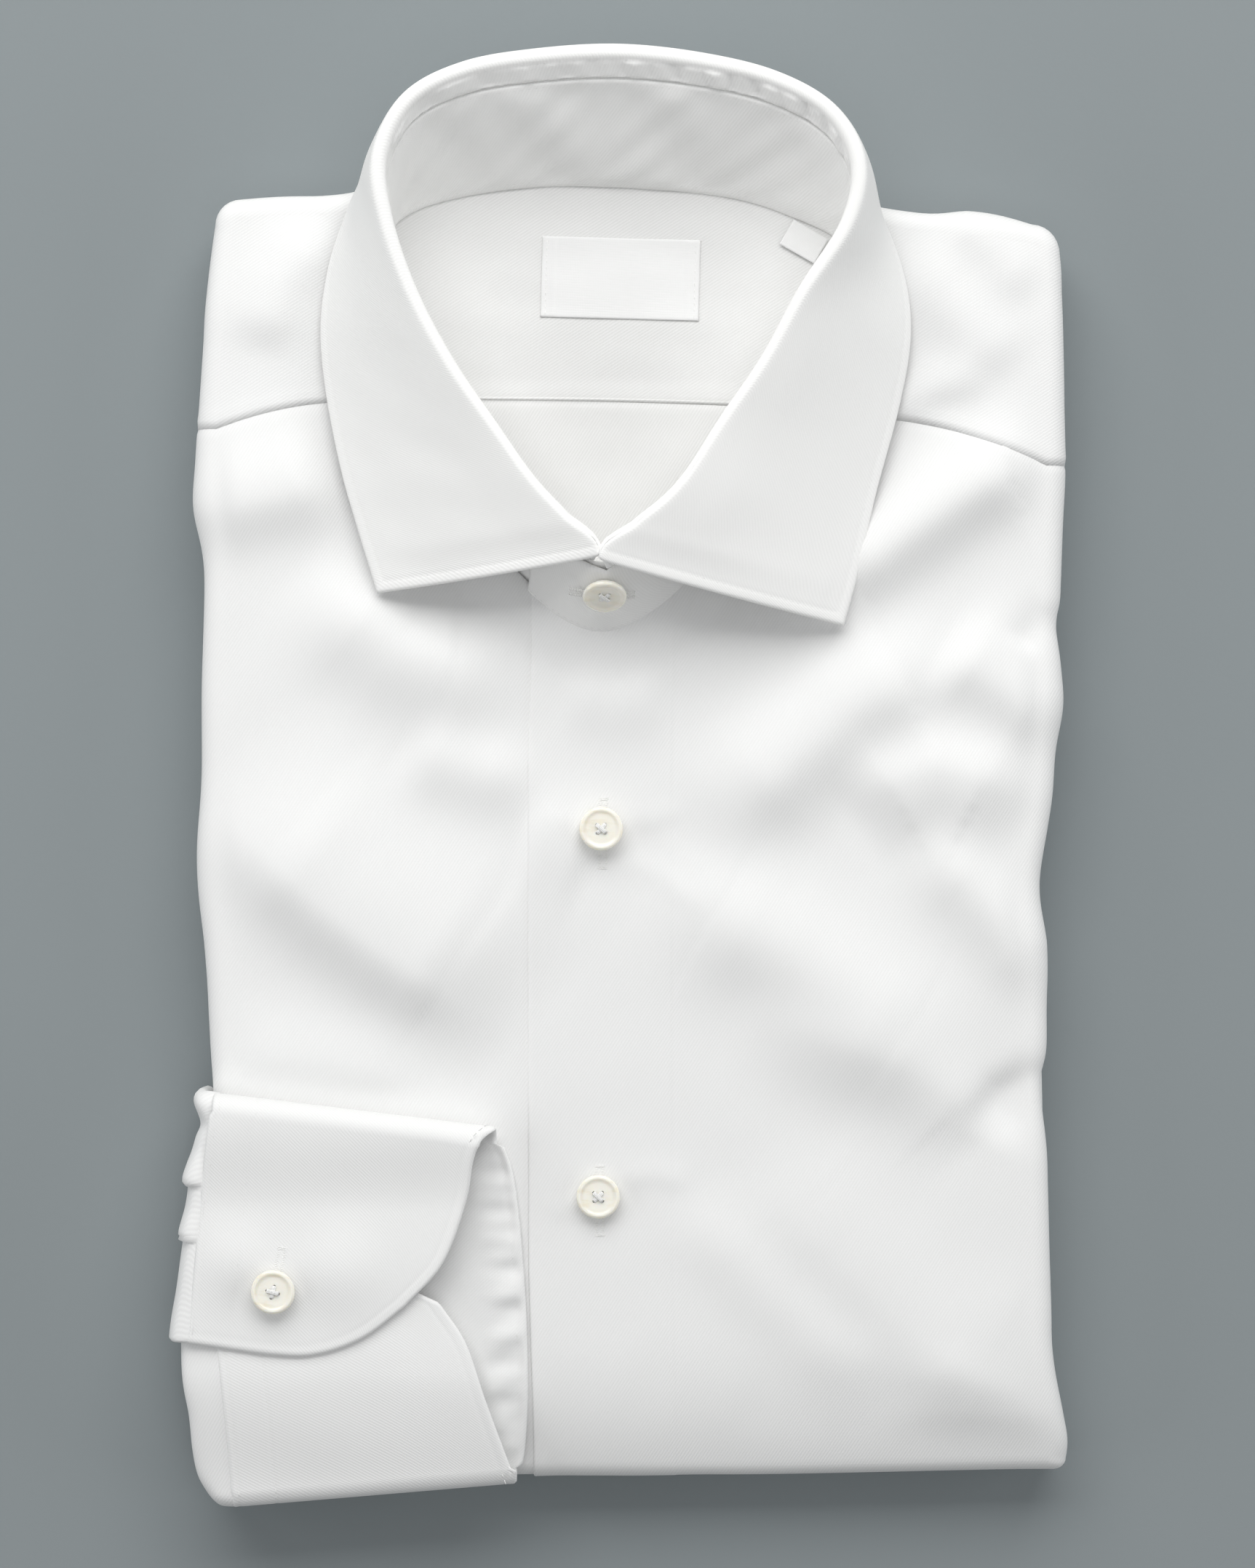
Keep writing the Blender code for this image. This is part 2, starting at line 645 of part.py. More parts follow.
def stand_top_share(share):
    """How high the stand reaches: rounded off at its over end and its under end."""
    over = np.sqrt(1 - (np.clip(share - 0.982, 0, 1) / 0.09) ** 2)
    under = np.sqrt(1 - (np.clip(-share, 0, 1) / 0.07) ** 2)
    return STAND_SHARE * over * under


def make_collar_stand():
    ends = np.linspace(0, STAND_END, 5)[1:]
    share = np.concatenate([-ends[::-1], COLLAR_SHARES, 1 + ends])
    foot, top, _, _ = neck_frame(share, 1)
    reach = stand_top_share(share)[:, None]
    grid = np.stack([foot + (top - foot) * reach * t for t in (0, 0.25, 0.5, 0.75, 1)])
    grid_wall("collar_stand", grid, STAND_CLOTH, (0.74, 0.74, 0.73))


COLLAR_SHARES = np.linspace(0, 1, 42)


def make_collar_fall():
    """The fall: up from the stand, over the roll and down to its free edge."""
    share = COLLAR_SHARES
    foot, roll, up, _ = neck_frame(share, 1)
    edge = curve_at(LEAF_EDGE, np.linspace(0, 1, len(share)))
    ahead = curve_at(ROLL_LINE, np.clip(share + 0.01, 0, 1)) - curve_at(ROLL_LINE, np.clip(share - 0.01, 0, 1))
    ahead /= np.linalg.norm(ahead, axis=1)[:, None]

    def across(way):
        flat = way - np.sum(way * ahead, axis=1)[:, None] * ahead
        return flat / np.linalg.norm(flat, axis=1)[:, None]

    rise, leaf = across(up), across(edge - roll)
    side = leaf - np.sum(leaf * rise, axis=1)[:, None] * rise
    side /= np.linalg.norm(side, axis=1)[:, None]
    turn = np.arccos(np.clip(np.sum(leaf * rise, axis=1), -1, 1))[:, None]
    start = foot + (roll - foot) * STAND_SHARE + up * SEAM_GAP * 1.5
    rows = [start, (start + roll) / 2, roll]
    for part in (0.34, 0.67, 1.0):
        angle = turn * part
        rows.append(roll + ROLL_RADIUS * (side * (1 - np.cos(angle)) + rise * np.sin(angle)))
    last = rows[-1]
    belly = -side * np.cos(turn) + rise * np.sin(turn)
    for part in (0.2, 0.42, 0.64, 0.84, 1.0):
        rows.append(blend(last, edge, part) + belly * LEAF_BELLY * 4 * part * (1 - part))
    grid_wall("collar_fall", np.stack(rows), FALL_CLOTH, (0.88, 0.88, 0.87))


def cuff_bed(y):
    """The cuff is stiffer than the fronts, so it follows the hem's fall less."""
    return PILE - 5.0 * ease((-138.0 - y) / 36.0)


def from_y(rows, start, end, count):
    """Points of a curve between two heights y."""
    points = curve_at(rows, np.linspace(0, 1, 300))
    inside = points[(points[:, 1] <= max(start, end)) & (points[:, 1] >= min(start, end))]
    way = np.linspace(0, len(inside) - 1, count).round().astype(int)
    return inside[way]


TOP_TURN, FOOT_TURN = (CUFF_OVER - CUFF_BACK) / 2, (CUFF_UNDER - CUFF_BACK) / 2
CUFF_COLUMNS = 10


def cuff_fold(near, radius, above, below, count):
    """Rows of points round a fold, from one layer to the other. above and below are the layers' heights."""
    middle, half = (above + below) / 2, (above - below) / 2
    rows = []
    for angle in np.linspace(0, np.pi, count + 2)[1:-1]:
        row = near + (0, radius * np.sin(angle))
        rows.append(np.column_stack([row, cuff_bed(row[:, 1]) + middle + half * np.cos(angle)]))
    return rows


def raised(flat, height):
    return [np.column_stack([row, cuff_bed(row[:, 1]) + height]) for row in flat]


def cuff_layers():
    """The cuff's three layers as flat grids from the seam to the wrist, and the lines where it folds."""
    over_top = np.linspace(CUFF_OVER_SEAM[0], CUFF_OVER_WRIST[0], CUFF_COLUMNS)
    foot = np.linspace(CUFF_UNDER_SEAM[0], CUFF_UNDER_WRIST[0], CUFF_COLUMNS)
    near_top, near_foot = over_top - (0, TOP_TURN), foot + (0, FOOT_TURN)
    seam = from_y(CUFF_OVER_SEAM, near_top[0, 1], -130.3, 8)
    wrist = from_y(CUFF_OVER_WRIST, near_top[-1, 1], -120.8, 8)
    seam[0], wrist[0] = near_top[0], near_top[-1]
    hem = curve(CUFF_OVER_FOOT, CUFF_COLUMNS)
    seam[-1], wrist[-1] = hem[0], hem[-1]
    over = coons(near_top, hem, seam, wrist)
    back_seam = np.linspace(near_top[0], near_foot[0], 10)
    back_wrist = from_y(CUFF_BACK_WRIST, near_foot[-1, 1], near_top[-1, 1], 10)[::-1]
    back_wrist[0], back_wrist[-1] = near_top[-1], near_foot[-1]
    back = coons(near_top, near_foot, back_seam, back_wrist)
    head = curve(CUFF_UNDER_HEAD, CUFF_COLUMNS)
    under_seam = from_y(CUFF_UNDER_SEAM, near_foot[0, 1], -115.0, 7)
    under_wrist = from_y(CUFF_UNDER_WRIST, near_foot[-1, 1], -119.8, 7)
    under_seam[0], under_wrist[0] = near_foot[0], near_foot[-1]
    under_seam[-1], under_wrist[-1] = head[0], head[-1]
    under = coons(near_foot, head, under_seam, under_wrist)
    return over, back, under


def make_cuff():
    """The cuff: one strip from its under end round the foot fold, back, and top fold to its over end."""
    over, back, under = cuff_layers()
    rows = raised(under[::-1], CUFF_UNDER)
    rows += cuff_fold(under[0], -FOOT_TURN, CUFF_UNDER, CUFF_BACK, 3)
    rows += raised(back[::-1], CUFF_BACK)
    rows += cuff_fold(over[0], TOP_TURN, CUFF_BACK, CUFF_OVER, 3)
    rows += raised(over, CUFF_OVER)
    grid_wall("cuff_right", np.stack(rows), CUFF_CLOTH, (0.76, 0.77, 0.77))


def sleeve_rows():
    """Sections of the sleeve at the cuff: y, seam x, height above the pile, and how far out it is layered."""
    over, back, under = cuff_layers()
    seam_over, seam_back, seam_under = over[:, 0], back[:, 0], under[:, 0]
    rows = []

    def add(ys, seam, height, layer):
        order = np.argsort(seam[:, 1])
        for y in ys:
            rows.append((y, np.interp(y, seam[order, 1], seam[order, 0]), height, layer))

    def fold(y, radius, x, start, end, layer):
        for angle in np.radians((45, 90, 135)):
            share = (1 - np.cos(angle)) / 2
            rows.append((y + radius * np.sin(angle), x, blend(start, end, share), blend(layer[0], layer[1], share)))

    add((-115.4, -122.0, -136.6, -150.0, -159.4, -166.0, seam_under[0, 1]), seam_under, CUFF_UNDER, 1)
    fold(seam_under[0, 1], -FOOT_TURN, seam_under[0, 0], CUFF_UNDER, CUFF_BACK, (1, 0))
    add((seam_back[-1, 1], -164.0, -150.0, -130.0, -110.0, -90.0, seam_back[0, 1]), seam_back, CUFF_BACK, 0)
    fold(seam_over[0, 1], TOP_TURN, seam_over[0, 0], CUFF_BACK, CUFF_OVER, (0, 1))
    add((seam_over[0, 1], -79.0, -88.4, -89.6, -96.0, -102.8, -104.2, -112.0, -121.0, -130.1), seam_over, CUFF_OVER, 1)
    return rows


def make_sleeve():
    """The sleeve's stretch from the cuff over the body's edge and down its side."""
    grid = []
    sections = sleeve_rows()
    turned = len(sections) - 10
    for index, (y, seam_x, height, layer) in enumerate(sections):
        reach_rows = SLEEVE_OVER_REACH if index >= turned - 3 else SLEEVE_UNDER_REACH
        reach = along(reach_rows, y)
        edge = left_edge(y) + 5.0 * ease((-163 - y) / 10)
        lower = 1.3 * (reach_rows is SLEEVE_UNDER_REACH)
        line = [(seam_x - 2 * SEAM_GAP, y, cuff_bed(y) + height)]
        for inner, outer in zip(SLEEVE_INNER_WAY, SLEEVE_OUTER_WAY):
            low = (edge + inner[0], inner[1])
            high = (reach + outer[0], outer[1] - lower * (outer[1] > 25))
            drop = (cuff_bed(y) - PILE) * min(1.0, blend(low[1], high[1], layer) / PILE)
            line.append((blend(low[0], high[0], layer), y, blend(low[1], high[1], layer) + drop))
        grid.append(line)
    grid_wall("sleeve_right", np.array(grid), THIN_CLOTH, (0.80, 0.80, 0.81))


CORE_LIP = EDGE_RADIUS - CLOTH - 3 * SEAM_GAP
CORE_INSET = EDGE_RADIUS + 0.8
# Layers at the pile's edge. Columns: share of the height below the turned rim, distance past the rim's inner line
LAYER_EDGES = (
    (1.00, 1.2),
    (0.97, 4.3),
    (0.76, 5.0),
    (0.71, 2.6),
    (0.66, 4.7),
    (0.43, 5.0),
    (0.38, 2.6),
    (0.33, 4.8),
    (0.06, 4.7),
    (0.00, 3.2),
)
LIP_TURNS = np.radians((8, 45, 90, 150))
CORE_SIDE_SHARES = np.array(
    (0, 0.05, 0.11, 0.2, 0.3, 0.4, 0.47, 0.51, 0.555, 0.6, 0.7, 0.8, 0.88, 0.93, 0.965, 1)
)
CORE_END_COLUMNS = 15


def core_rim():
    """Points of the rim's inner line round the whole pile with the direction outwards at each."""
    y = blend(TOP_FOLD[0][1] - CORE_INSET, HEM_FOLD[0][1] + CORE_INSET, CORE_SIDE_SHARES)
    left = [((left_edge(v) + CORE_INSET, v), LEFT) for v in y[::-1]]
    x = np.linspace(left[-1][0][0], right_edge(156.0) - CORE_INSET, CORE_END_COLUMNS)
    top = [((v, along(TOP_FOLD, v) - CORE_INSET), TOP) for v in x]
    y = blend(top[-1][0][1], HEM_FOLD[-1][1] + CORE_INSET, CORE_SIDE_SHARES)
    right = [((right_edge(v) - CORE_INSET, v), RIGHT) for v in y]
    x = np.linspace(right[-1][0][0], left[0][0][0], CORE_END_COLUMNS)
    foot = [((v, along(HEM_FOLD, v) + CORE_INSET), FOOT) for v in x]
    rim = []
    for side, following in ((left, TOP), (top, RIGHT), (right, FOOT), (foot, LEFT)):
        rim += side
        rim += [(side[-1][0], tuple(way)) for way in corner_ways(side[-1][1], following)]
    return rim


def make_hidden_layers():
    """One rounded solid for all that the fold hides, grooved at its edges where layers end."""
    rim = core_rim()
    base = np.array([spot for spot, _ in rim])
    way = np.array([out for _, out in rim], float)
    height = bed(base[:, 0], base[:, 1])
    rows = []
    for turn in LIP_TURNS:
        z = height - EDGE_RADIUS + CORE_LIP * np.cos(turn)
        rows.append(np.column_stack([base + way * CORE_LIP * np.sin(turn), z]))
    under = height - 2 * EDGE_RADIUS
    for share, out in LAYER_EDGES:
        rows.append(np.column_stack([base + way * out, under * share]))
    count = len(rim)
    points = [tuple(p) for row in rows for p in row]
    faces = []
    for r in range(len(rows) - 1):
        for c in range(count):
            d = (c + 1) % count
            faces.append((r * count + c, r * count + d, (r + 1) * count + d, (r + 1) * count + c))
    previous = list(range(count))
    for scale in (0.955, 0.91, 0.86, 0.5):
        flat = np.column_stack([base[:, 0] * scale, base[:, 1] * scale])
        z = bed(flat[:, 0], flat[:, 1]) - CLOTH - 4 * SEAM_GAP
        ring = list(range(len(points), len(points) + count))
        points += [tuple(p) for p in np.column_stack([flat, z])]
        faces += [(previous[c], ring[c], ring[(c + 1) % count], previous[(c + 1) % count]) for c in range(count)]
        previous = ring
    top = len(points)
    points.append((0, 0, PILE - CLOTH - 3 * SEAM_GAP))
    faces += [(previous[c], top, previous[(c + 1) % count]) for c in range(count)]
    last = (len(rows) - 1) * count
    foot = len(points)
    points.append((0, 0, 0))
    faces += [(last + (c + 1) % count, foot, last + c) for c in range(count)]
    made = new_object("hidden_layers", points, faces, (0.82, 0.82, 0.82))
    edit = bmesh.new()
    edit.from_mesh(made.data)
    bmesh.ops.remove_doubles(edit, verts=edit.verts, dist=1e-6)
    bmesh.ops.recalc_face_normals(edit, faces=edit.faces)
    edit.to_mesh(made.data)
    edit.free()


# Columns: distance from the middle, height over the button's own middle
def button_section():
    half = BUTTON_THICK / 2
    return (
        (0.0, half - BUTTON_DISH),
        (BUTTON_RADIUS - BUTTON_RIM - 0.9, half - BUTTON_DISH),
        (BUTTON_RADIUS - BUTTON_RIM, half - 0.1),
        (BUTTON_RADIUS - 0.6, half),
        (BUTTON_RADIUS, half * 0.35),
        (BUTTON_RADIUS - 0.5, -half * 0.55),
        (BUTTON_RADIUS - 1.7, -half),
        (0.0, -half),
    )


def make_button(name, place, axis, turn):
    """A sewn button with a rim and four holes, at its seat."""
    section = button_section()
    points = [(0, 0, section[0][1])]
    for radius, z in section[1:-1]:
        for step in range(BUTTON_SIDES):
            angle = 2 * np.pi * step / BUTTON_SIDES
            points.append((radius * np.cos(angle), radius * np.sin(angle), z))
    points.append((0, 0, section[-1][1]))
    rings = len(section) - 2
    faces = [(0, 1 + s, 1 + (s + 1) % BUTTON_SIDES) for s in range(BUTTON_SIDES)]
    for ring in range(rings - 1):
        for s in range(BUTTON_SIDES):
            a, b = 1 + ring * BUTTON_SIDES + s, 1 + ring * BUTTON_SIDES + (s + 1) % BUTTON_SIDES
            faces.append((a, a + BUTTON_SIDES, b + BUTTON_SIDES, b))
    end = 1 + (rings - 1) * BUTTON_SIDES
    faces += [(end + (s + 1) % BUTTON_SIDES, end + s, len(points) - 1) for s in range(BUTTON_SIDES)]
    made = new_object(name, points, faces, (0.80, 0.78, 0.70), 0.25)
    cutter = bmesh.new()
    for step in range(4):
        angle = np.radians(45 + 90 * step)
        spot = (BUTTON_HOLE_OUT * np.cos(angle) * MM, BUTTON_HOLE_OUT * np.sin(angle) * MM, 0)
        hole = bmesh.ops.create_cone(
            cutter, cap_ends=True, segments=6, radius1=BUTTON_HOLE * MM, radius2=BUTTON_HOLE * MM, depth=6 * MM
        )
        bmesh.ops.translate(cutter, verts=hole["verts"], vec=spot)
    mesh = bpy.data.meshes.new(name + "_holes")
    cutter.to_mesh(mesh)
    cutter.free()
    holes = bpy.data.objects.new(name + "_holes", mesh)
    bpy.context.scene.collection.objects.link(holes)
    holes.hide_render = True
    holes.display_type = "WIRE"
    holes.parent = made
    cut = made.modifiers.new("Holes", "BOOLEAN")
    cut.operation = "DIFFERENCE"
    cut.object = holes
    made.location = Vector(place) * MM
    facing = Vector(axis).to_track_quat("Z", "Y").to_matrix() @ Matrix.Rotation(np.radians(turn), 3, "Z")
    made.rotation_euler = facing.to_euler()
    return made


def seat(height, place):
    """Height of a button's middle when its foot lies just clear of the cloth under it."""
    angle = np.linspace(0, 2 * np.pi, 16)
    x = place[0] + np.append(0, BUTTON_RADIUS * np.cos(angle))
    y = place[1] + np.append(0, BUTTON_RADIUS * np.sin(angle))
    return float(np.max(height(x, y))) + SEAM_GAP + BUTTON_THICK / 2


def make_buttons():
    for name, place, turn in (("button_front_1", BUTTON_1, 0), ("button_front_2", BUTTON_2, 12)):
        make_button(name, (*place, seat(over_height, place)), (0, 0, 1), turn)
    on_cuff = cuff_bed(BUTTON_CUFF[1]) + CUFF_OVER + CUFF_CLOTH / 2 + SEAM_GAP + BUTTON_THICK / 2
    make_button("button_cuff", (*BUTTON_CUFF, on_cuff), (0, 0, 1), 30)
    foot, _, up, out = (rows[0] for rows in neck_frame([1.0], 1))
    lift = STAND_CLOTH / 2 + SEAM_GAP + BUTTON_THICK / 2
    climb = (BUTTON_COLLAR_Y - foot[1] - out[1] * lift) / up[1]
    make_button("button_collar", foot + up * climb + out * lift, out, 0)


def main():
    for old in list(bpy.data.objects):
        bpy.data.objects.remove(old)
    make_hidden_layers()
    seam_right_front = make_front_right()
    seam_left_front = make_front_left()
    make_yoke(seam_right_front, seam_left_front)
    half = SEAM_GAP / 2
    make_lining("yoke_lining", 1 - YOKE_START, 0.335, 0.68, half, (0.83, 0.83, 0.82))
    make_lining("back", -YOKE_START, 0.055, -0.055, -half, (0.78, 0.78, 0.77))
    make_collar_stand()
    make_collar_fall()
    make_cuff()
    make_sleeve()
    make_buttons()
    grid_wall("neck_label", trim_grid(LABEL_SIZE, LABEL_PLACE, LABEL_TURN, 6, 5), TRIM_THICK, (0.90, 0.90, 0.90))
    grid_wall("size_tab", trim_grid(TAB_SIZE, TAB_PLACE, TAB_TURN, 3, 3), TRIM_THICK, (0.90, 0.90, 0.90))


main()
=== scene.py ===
"""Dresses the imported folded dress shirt: twill cloth, sewn edges, shell buttons, a floor and soft light."""

import functools

import bmesh
import bpy
import numpy as np
from mathutils import Matrix, Vector


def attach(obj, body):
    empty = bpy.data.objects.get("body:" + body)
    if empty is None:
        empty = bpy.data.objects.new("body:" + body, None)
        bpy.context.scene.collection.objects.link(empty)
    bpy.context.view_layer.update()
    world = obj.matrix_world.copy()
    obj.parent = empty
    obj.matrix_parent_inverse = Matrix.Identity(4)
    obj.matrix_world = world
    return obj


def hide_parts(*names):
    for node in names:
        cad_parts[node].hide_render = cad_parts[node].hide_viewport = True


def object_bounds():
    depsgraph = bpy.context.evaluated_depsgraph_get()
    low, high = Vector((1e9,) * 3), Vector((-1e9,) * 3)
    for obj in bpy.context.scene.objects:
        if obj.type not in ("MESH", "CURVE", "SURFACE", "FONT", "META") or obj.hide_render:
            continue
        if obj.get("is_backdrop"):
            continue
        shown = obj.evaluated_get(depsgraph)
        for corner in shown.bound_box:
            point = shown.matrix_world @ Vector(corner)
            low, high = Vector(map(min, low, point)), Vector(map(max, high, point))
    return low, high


bl_info = {
    "name": "Folded dress shirt",
    "version": (1, 0, 0),
    "blender": (4, 5, 0),
    "location": "3D View > Sidebar > Shirt",
    "description": "Builds a white twill dress shirt, folded for the shelf, round its packed solids",
    "category": "Object",
}

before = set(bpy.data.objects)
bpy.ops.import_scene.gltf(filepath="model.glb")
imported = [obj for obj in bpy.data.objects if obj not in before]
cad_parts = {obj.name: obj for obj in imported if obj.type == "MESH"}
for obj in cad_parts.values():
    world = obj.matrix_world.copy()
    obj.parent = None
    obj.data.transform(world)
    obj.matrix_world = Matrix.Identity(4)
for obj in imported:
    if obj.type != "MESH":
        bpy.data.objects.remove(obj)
SOLID_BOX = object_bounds()

MM = 0.001
TURN = 2 * np.pi

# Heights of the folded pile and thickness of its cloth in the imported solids, in millimetres
PILE = 25.0
CLOTH = 1.5
SEAM_GAP = 0.3
EDGE_RADIUS = 5.0
HEM_FALL, HEM_START, HEM_RUN = 6.0, -141.0, 27.0
FRONT_HEM_FALL, FRONT_HEM_START, FRONT_HEM_RUN = 7.4, -130.0, 38.0
HEM_SLOPE = np.radians(24)
SHOULDER_FALL, SHOULDER_START, SHOULDER_RUN = 2.2, 132.0, 38.0
SIDE_FALL, SIDE_START, SIDE_RUN = 0.9, 84.0, 26.0
FACING, FACING_STEP = 37.0, 0.15
# The fronts: rise towards the neck, lift where the left one covers the right one, dip under the yoke
NECK_RISE, NECK_RISE_RUN = 2.5, 15.0
LAP_LIFT = 0.6
YOKE_DIP = 0.34

# The collar
ROLL_RADIUS = 1.7
STAND_BASE = 0.6
STAND_SHARE = 0.84
STAND_END = 0.055
OVERLAP_STEP = 2.1
OVERLAP_RISE = 2.9
LEAF_BELLY = 1.6

# The cuff: heights of the middle of its three layers above the pile
CUFF_BACK, CUFF_UNDER, CUFF_OVER = 1.2, 7.4, 9.3
TOP_TURN, FOOT_TURN = (CUFF_OVER - CUFF_BACK) / 2, (CUFF_UNDER - CUFF_BACK) / 2

# Columns: y, left edge, right edge of the folded body
BODY_SIDES = (
    (170.0, -106.6, 111.0), (160.4, -109.0, 111.9), (139.8, -111.2, 113.4), (109.4, -113.1, 114.0),
    (94.2, -112.5, 113.7), (71.4, -111.5, 113.1), (41.0, -112.3, 111.6), (10.6, -112.3, 110.4),
    (-12.2, -112.7, 107.0), (-27.4, -111.5, 107.5), (-42.6, -110.6, 109.1), (-73.0, -109.2, 109.3),
    (-118.6, -110.2, 110.2), (-133.8, -110.6, 110.6), (-149.0, -110.6, 113.1), (-158.5, -110.6, 115.0),
    (-168.0, -110.6, 113.8),
)
# Columns: x, y of the shoulder fold, which rises behind the collar
TOP_FOLD = (
    (-107.0, 168.0), (-74.0, 170.0), (-58.0, 176.6), (-35.0, 182.0), (-6.0, 183.6), (25.0, 180.8),
    (48.0, 173.0), (64.0, 166.6), (97.7, 162.3), (111.9, 160.4),
)
# Columns: x, y of the fold at the hem end
HEM_FOLD = (
    (-110.6, -168.0), (-27.0, -166.8), (-10.0, -166.7), (35.0, -166.8), (92.0, -165.6), (113.8, -165.5),
)
# Columns: x, y of the seam between yoke and front on the left of the picture, then on the right
YOKE_SEAM_LEFT = (
    (-113.2, 105.6), (-107.5, 107.9), (-98.0, 111.0), (-88.5, 113.2), (-79.4, 114.4), (-58.1, 116.1),
)
YOKE_SEAM_RIGHT = ((44.5, 112.3), (68.8, 109.8), (82.5, 107.5), (97.7, 102.8), (109.1, 98.0), (113.6, 95.2))
# Columns: x, y of the seam between the inner yoke and the back
INNER_YOKE_SEAM = ((-62.0, 116.0), (-12.5, 115.7), (25.5, 115.0), (50.0, 114.5))
# Columns: x, y of the neck seam, from the centre front round by the left of the picture
NECK_SEAM = (
    (-7.6, 56.6), (-29.3, 70.5), (-45.8, 93.3), (-58.1, 116.1), (-64.2, 136.0), (-63.8, 156.9),
    (-55.3, 166.0), (-33.4, 171.2), (-6.8, 172.2), (25.5, 169.4), (44.5, 163.4), (56.0, 156.9),
    (60.0, 149.3), (54.9, 133.2), (44.5, 112.3), (31.2, 91.4), (15.0, 70.5),
)
# Columns: x, y, z where the stand turns over into the fall, the same way round
ROLL_LINE = (
    (-9.5, 75.2, 46.6), (-20.3, 85.2, 47.2), (-32.8, 103.8, 47.9), (-45.4, 122.4, 48.7),
    (-55.1, 141.0, 49.2), (-61.3, 159.6, 49.6), (-62.6, 175.0, 49.8), (-55.6, 189.0, 50.1),
    (-42.0, 196.4, 50.2), (-24.0, 199.6, 50.5), (-3.0, 200.8, 50.6), (18.0, 198.6, 50.5),
    (36.6, 194.0, 50.2), (50.2, 186.0, 50.0), (56.8, 173.4, 49.7), (54.4, 158.6, 49.3), (43.5, 141.0, 48.9),
    (33.3, 122.4, 48.4), (20.3, 103.8, 47.8), (7.2, 85.2, 47.1), (-5.8, 74.0, 46.6),
)
# Columns: x, y, z of the free edge of the fall, from one collar point round the back to the other
LEAF_EDGE = (
    (-65.7, 64.4, 29.9), (-71.4, 82.8, 28.9), (-75.6, 98.0, 28.2), (-79.3, 117.5, 27.6),
    (-80.5, 134.0, 27.3), (-78.6, 148.6, 26.8), (-75.0, 160.0, 26.3), (-70.6, 170.0, 24.0),
    (-62.0, 179.6, 16.5), (-46.0, 184.8, 11.5), (-22.0, 186.2, 10.0), (4.0, 186.2, 10.0),
    (28.0, 185.0, 10.5), (46.0, 180.8, 13.0), (58.6, 173.2, 20.6), (66.0, 161.0, 26.3), (71.6, 146.0, 26.8),
    (73.0, 131.0, 27.4), (70.1, 113.2, 28.0), (64.0, 90.4, 28.9), (59.3, 69.5, 29.7), (55.5, 55.9, 30.2),
)
# Columns: x, y of the wrist edge of the cuff's back layer, from the bottom fold to the top one
CUFF_BACK_WRIST = (
    (-29.6, -167.2), (-27.6, -160.0), (-26.6, -141.4), (-27.5, -114.8), (-30.2, -88.2), (-34.8, -74.9),
)
# Columns: x, y of the rounded wrist end of the over layer, from the top fold to its lower edge
CUFF_OVER_WRIST = (
    (-34.8, -74.9), (-38.6, -78.2), (-40.6, -83.0), (-42.6, -93.9), (-48.6, -109.6), (-58.6, -120.8),
)
CUFF_OVER_FOOT = ((-114.8, -130.3), (-92.3, -133.4), (-80.9, -133.2), (-69.5, -129.0), (-58.6, -120.8))
# Columns: x, y of the rounded wrist end of the under layer, from the bottom fold up to its hidden edge
CUFF_UNDER_WRIST = ((-29.6, -167.2), (-37.2, -146.1), (-42.6, -130.4), (-49.6, -119.8))
CUFF_UNDER_HEAD = ((-109.0, -115.0), (-80.0, -113.0), (-64.0, -113.8), (-49.6, -119.8))
# Columns: x, y of the seam between sleeve and cuff on the over layer and on the under layer
CUFF_OVER_SEAM = ((-108.1, -65.9), (-110.6, -85.0), (-114.8, -130.3))
CUFF_UNDER_SEAM = ((-103.7, -173.5), (-105.4, -150.0), (-109.0, -115.0))
# The sleeve comes round the edge. Columns: y, how far left it reaches, on the over and on the under layer
SLEEVE_OVER_REACH = (
    (-60.0, -113.6), (-66.5, -113.8), (-73.5, -112.4), (-88.4, -115.9), (-89.6, -114.9), (-102.8, -117.0),
    (-104.2, -116.2), (-127.5, -119.7), (-131.0, -119.2),
)
SLEEVE_UNDER_REACH = (
    (-110.0, -116.4), (-136.6, -116.8), (-150.0, -115.0), (-159.4, -114.2), (-166.0, -112.9),
    (-171.4, -109.9), (-175.0, -107.6),
)
# The sleeve's way over the edge, inner and outer layer. Columns: x from the body's edge or from its reach, z
SLEEVE_INNER_WAY = ((0.4, 24.8), (-1.2, 20.5), (-1.3, 14.5), (-1.2, 9.5), (-0.8, 6.5))
SLEEVE_OUTER_WAY = ((2.0, 32.3), (0.3, 27.2), (0.0, 19.5), (0.2, 11.5), (0.4, 6.0))

# Trims and buttons
LABEL_SIZE, LABEL_PLACE, LABEL_TURN = (41.4, 21.3), (-2.5, 146.9), -1.5
TAB_SIZE, TAB_PLACE, TAB_TURN = (10.5, 7.5), (45.4, 156.6), -30.0
BUTTON_RADIUS, BUTTON_THICK = 5.7, 2.4
BUTTON_1, BUTTON_2, BUTTON_CUFF, BUTTON_COLLAR_Y = (-7.5, 3.2), (-8.3, -92.7), (-92.3, -116.5), 63.5
YOKE_START = 0.212


def unit(vectors):
    """The same directions, each one long."""
    return vectors / np.maximum(np.linalg.norm(vectors, axis=-1, keepdims=True), 1e-9)


def square_to(vectors, way):
    """What is left of vectors across a direction, each one long."""
    return unit(vectors - np.sum(vectors * way, axis=1, keepdims=True) * way)


def travelled(points):
    """Length reached at each point of a line."""
    return np.concatenate([[0], np.cumsum(np.linalg.norm(np.diff(points, axis=0), axis=1))])


def smooth_between(a, b, c, d, t):
    """Points of a smooth curve between b and c, with a before them and d after them."""
    return 0.5 * (2 * b + (c - a) * t + (2 * a - 5 * b + 4 * c - d) * t**2 + (3 * b - a - 3 * c + d) * t**3)


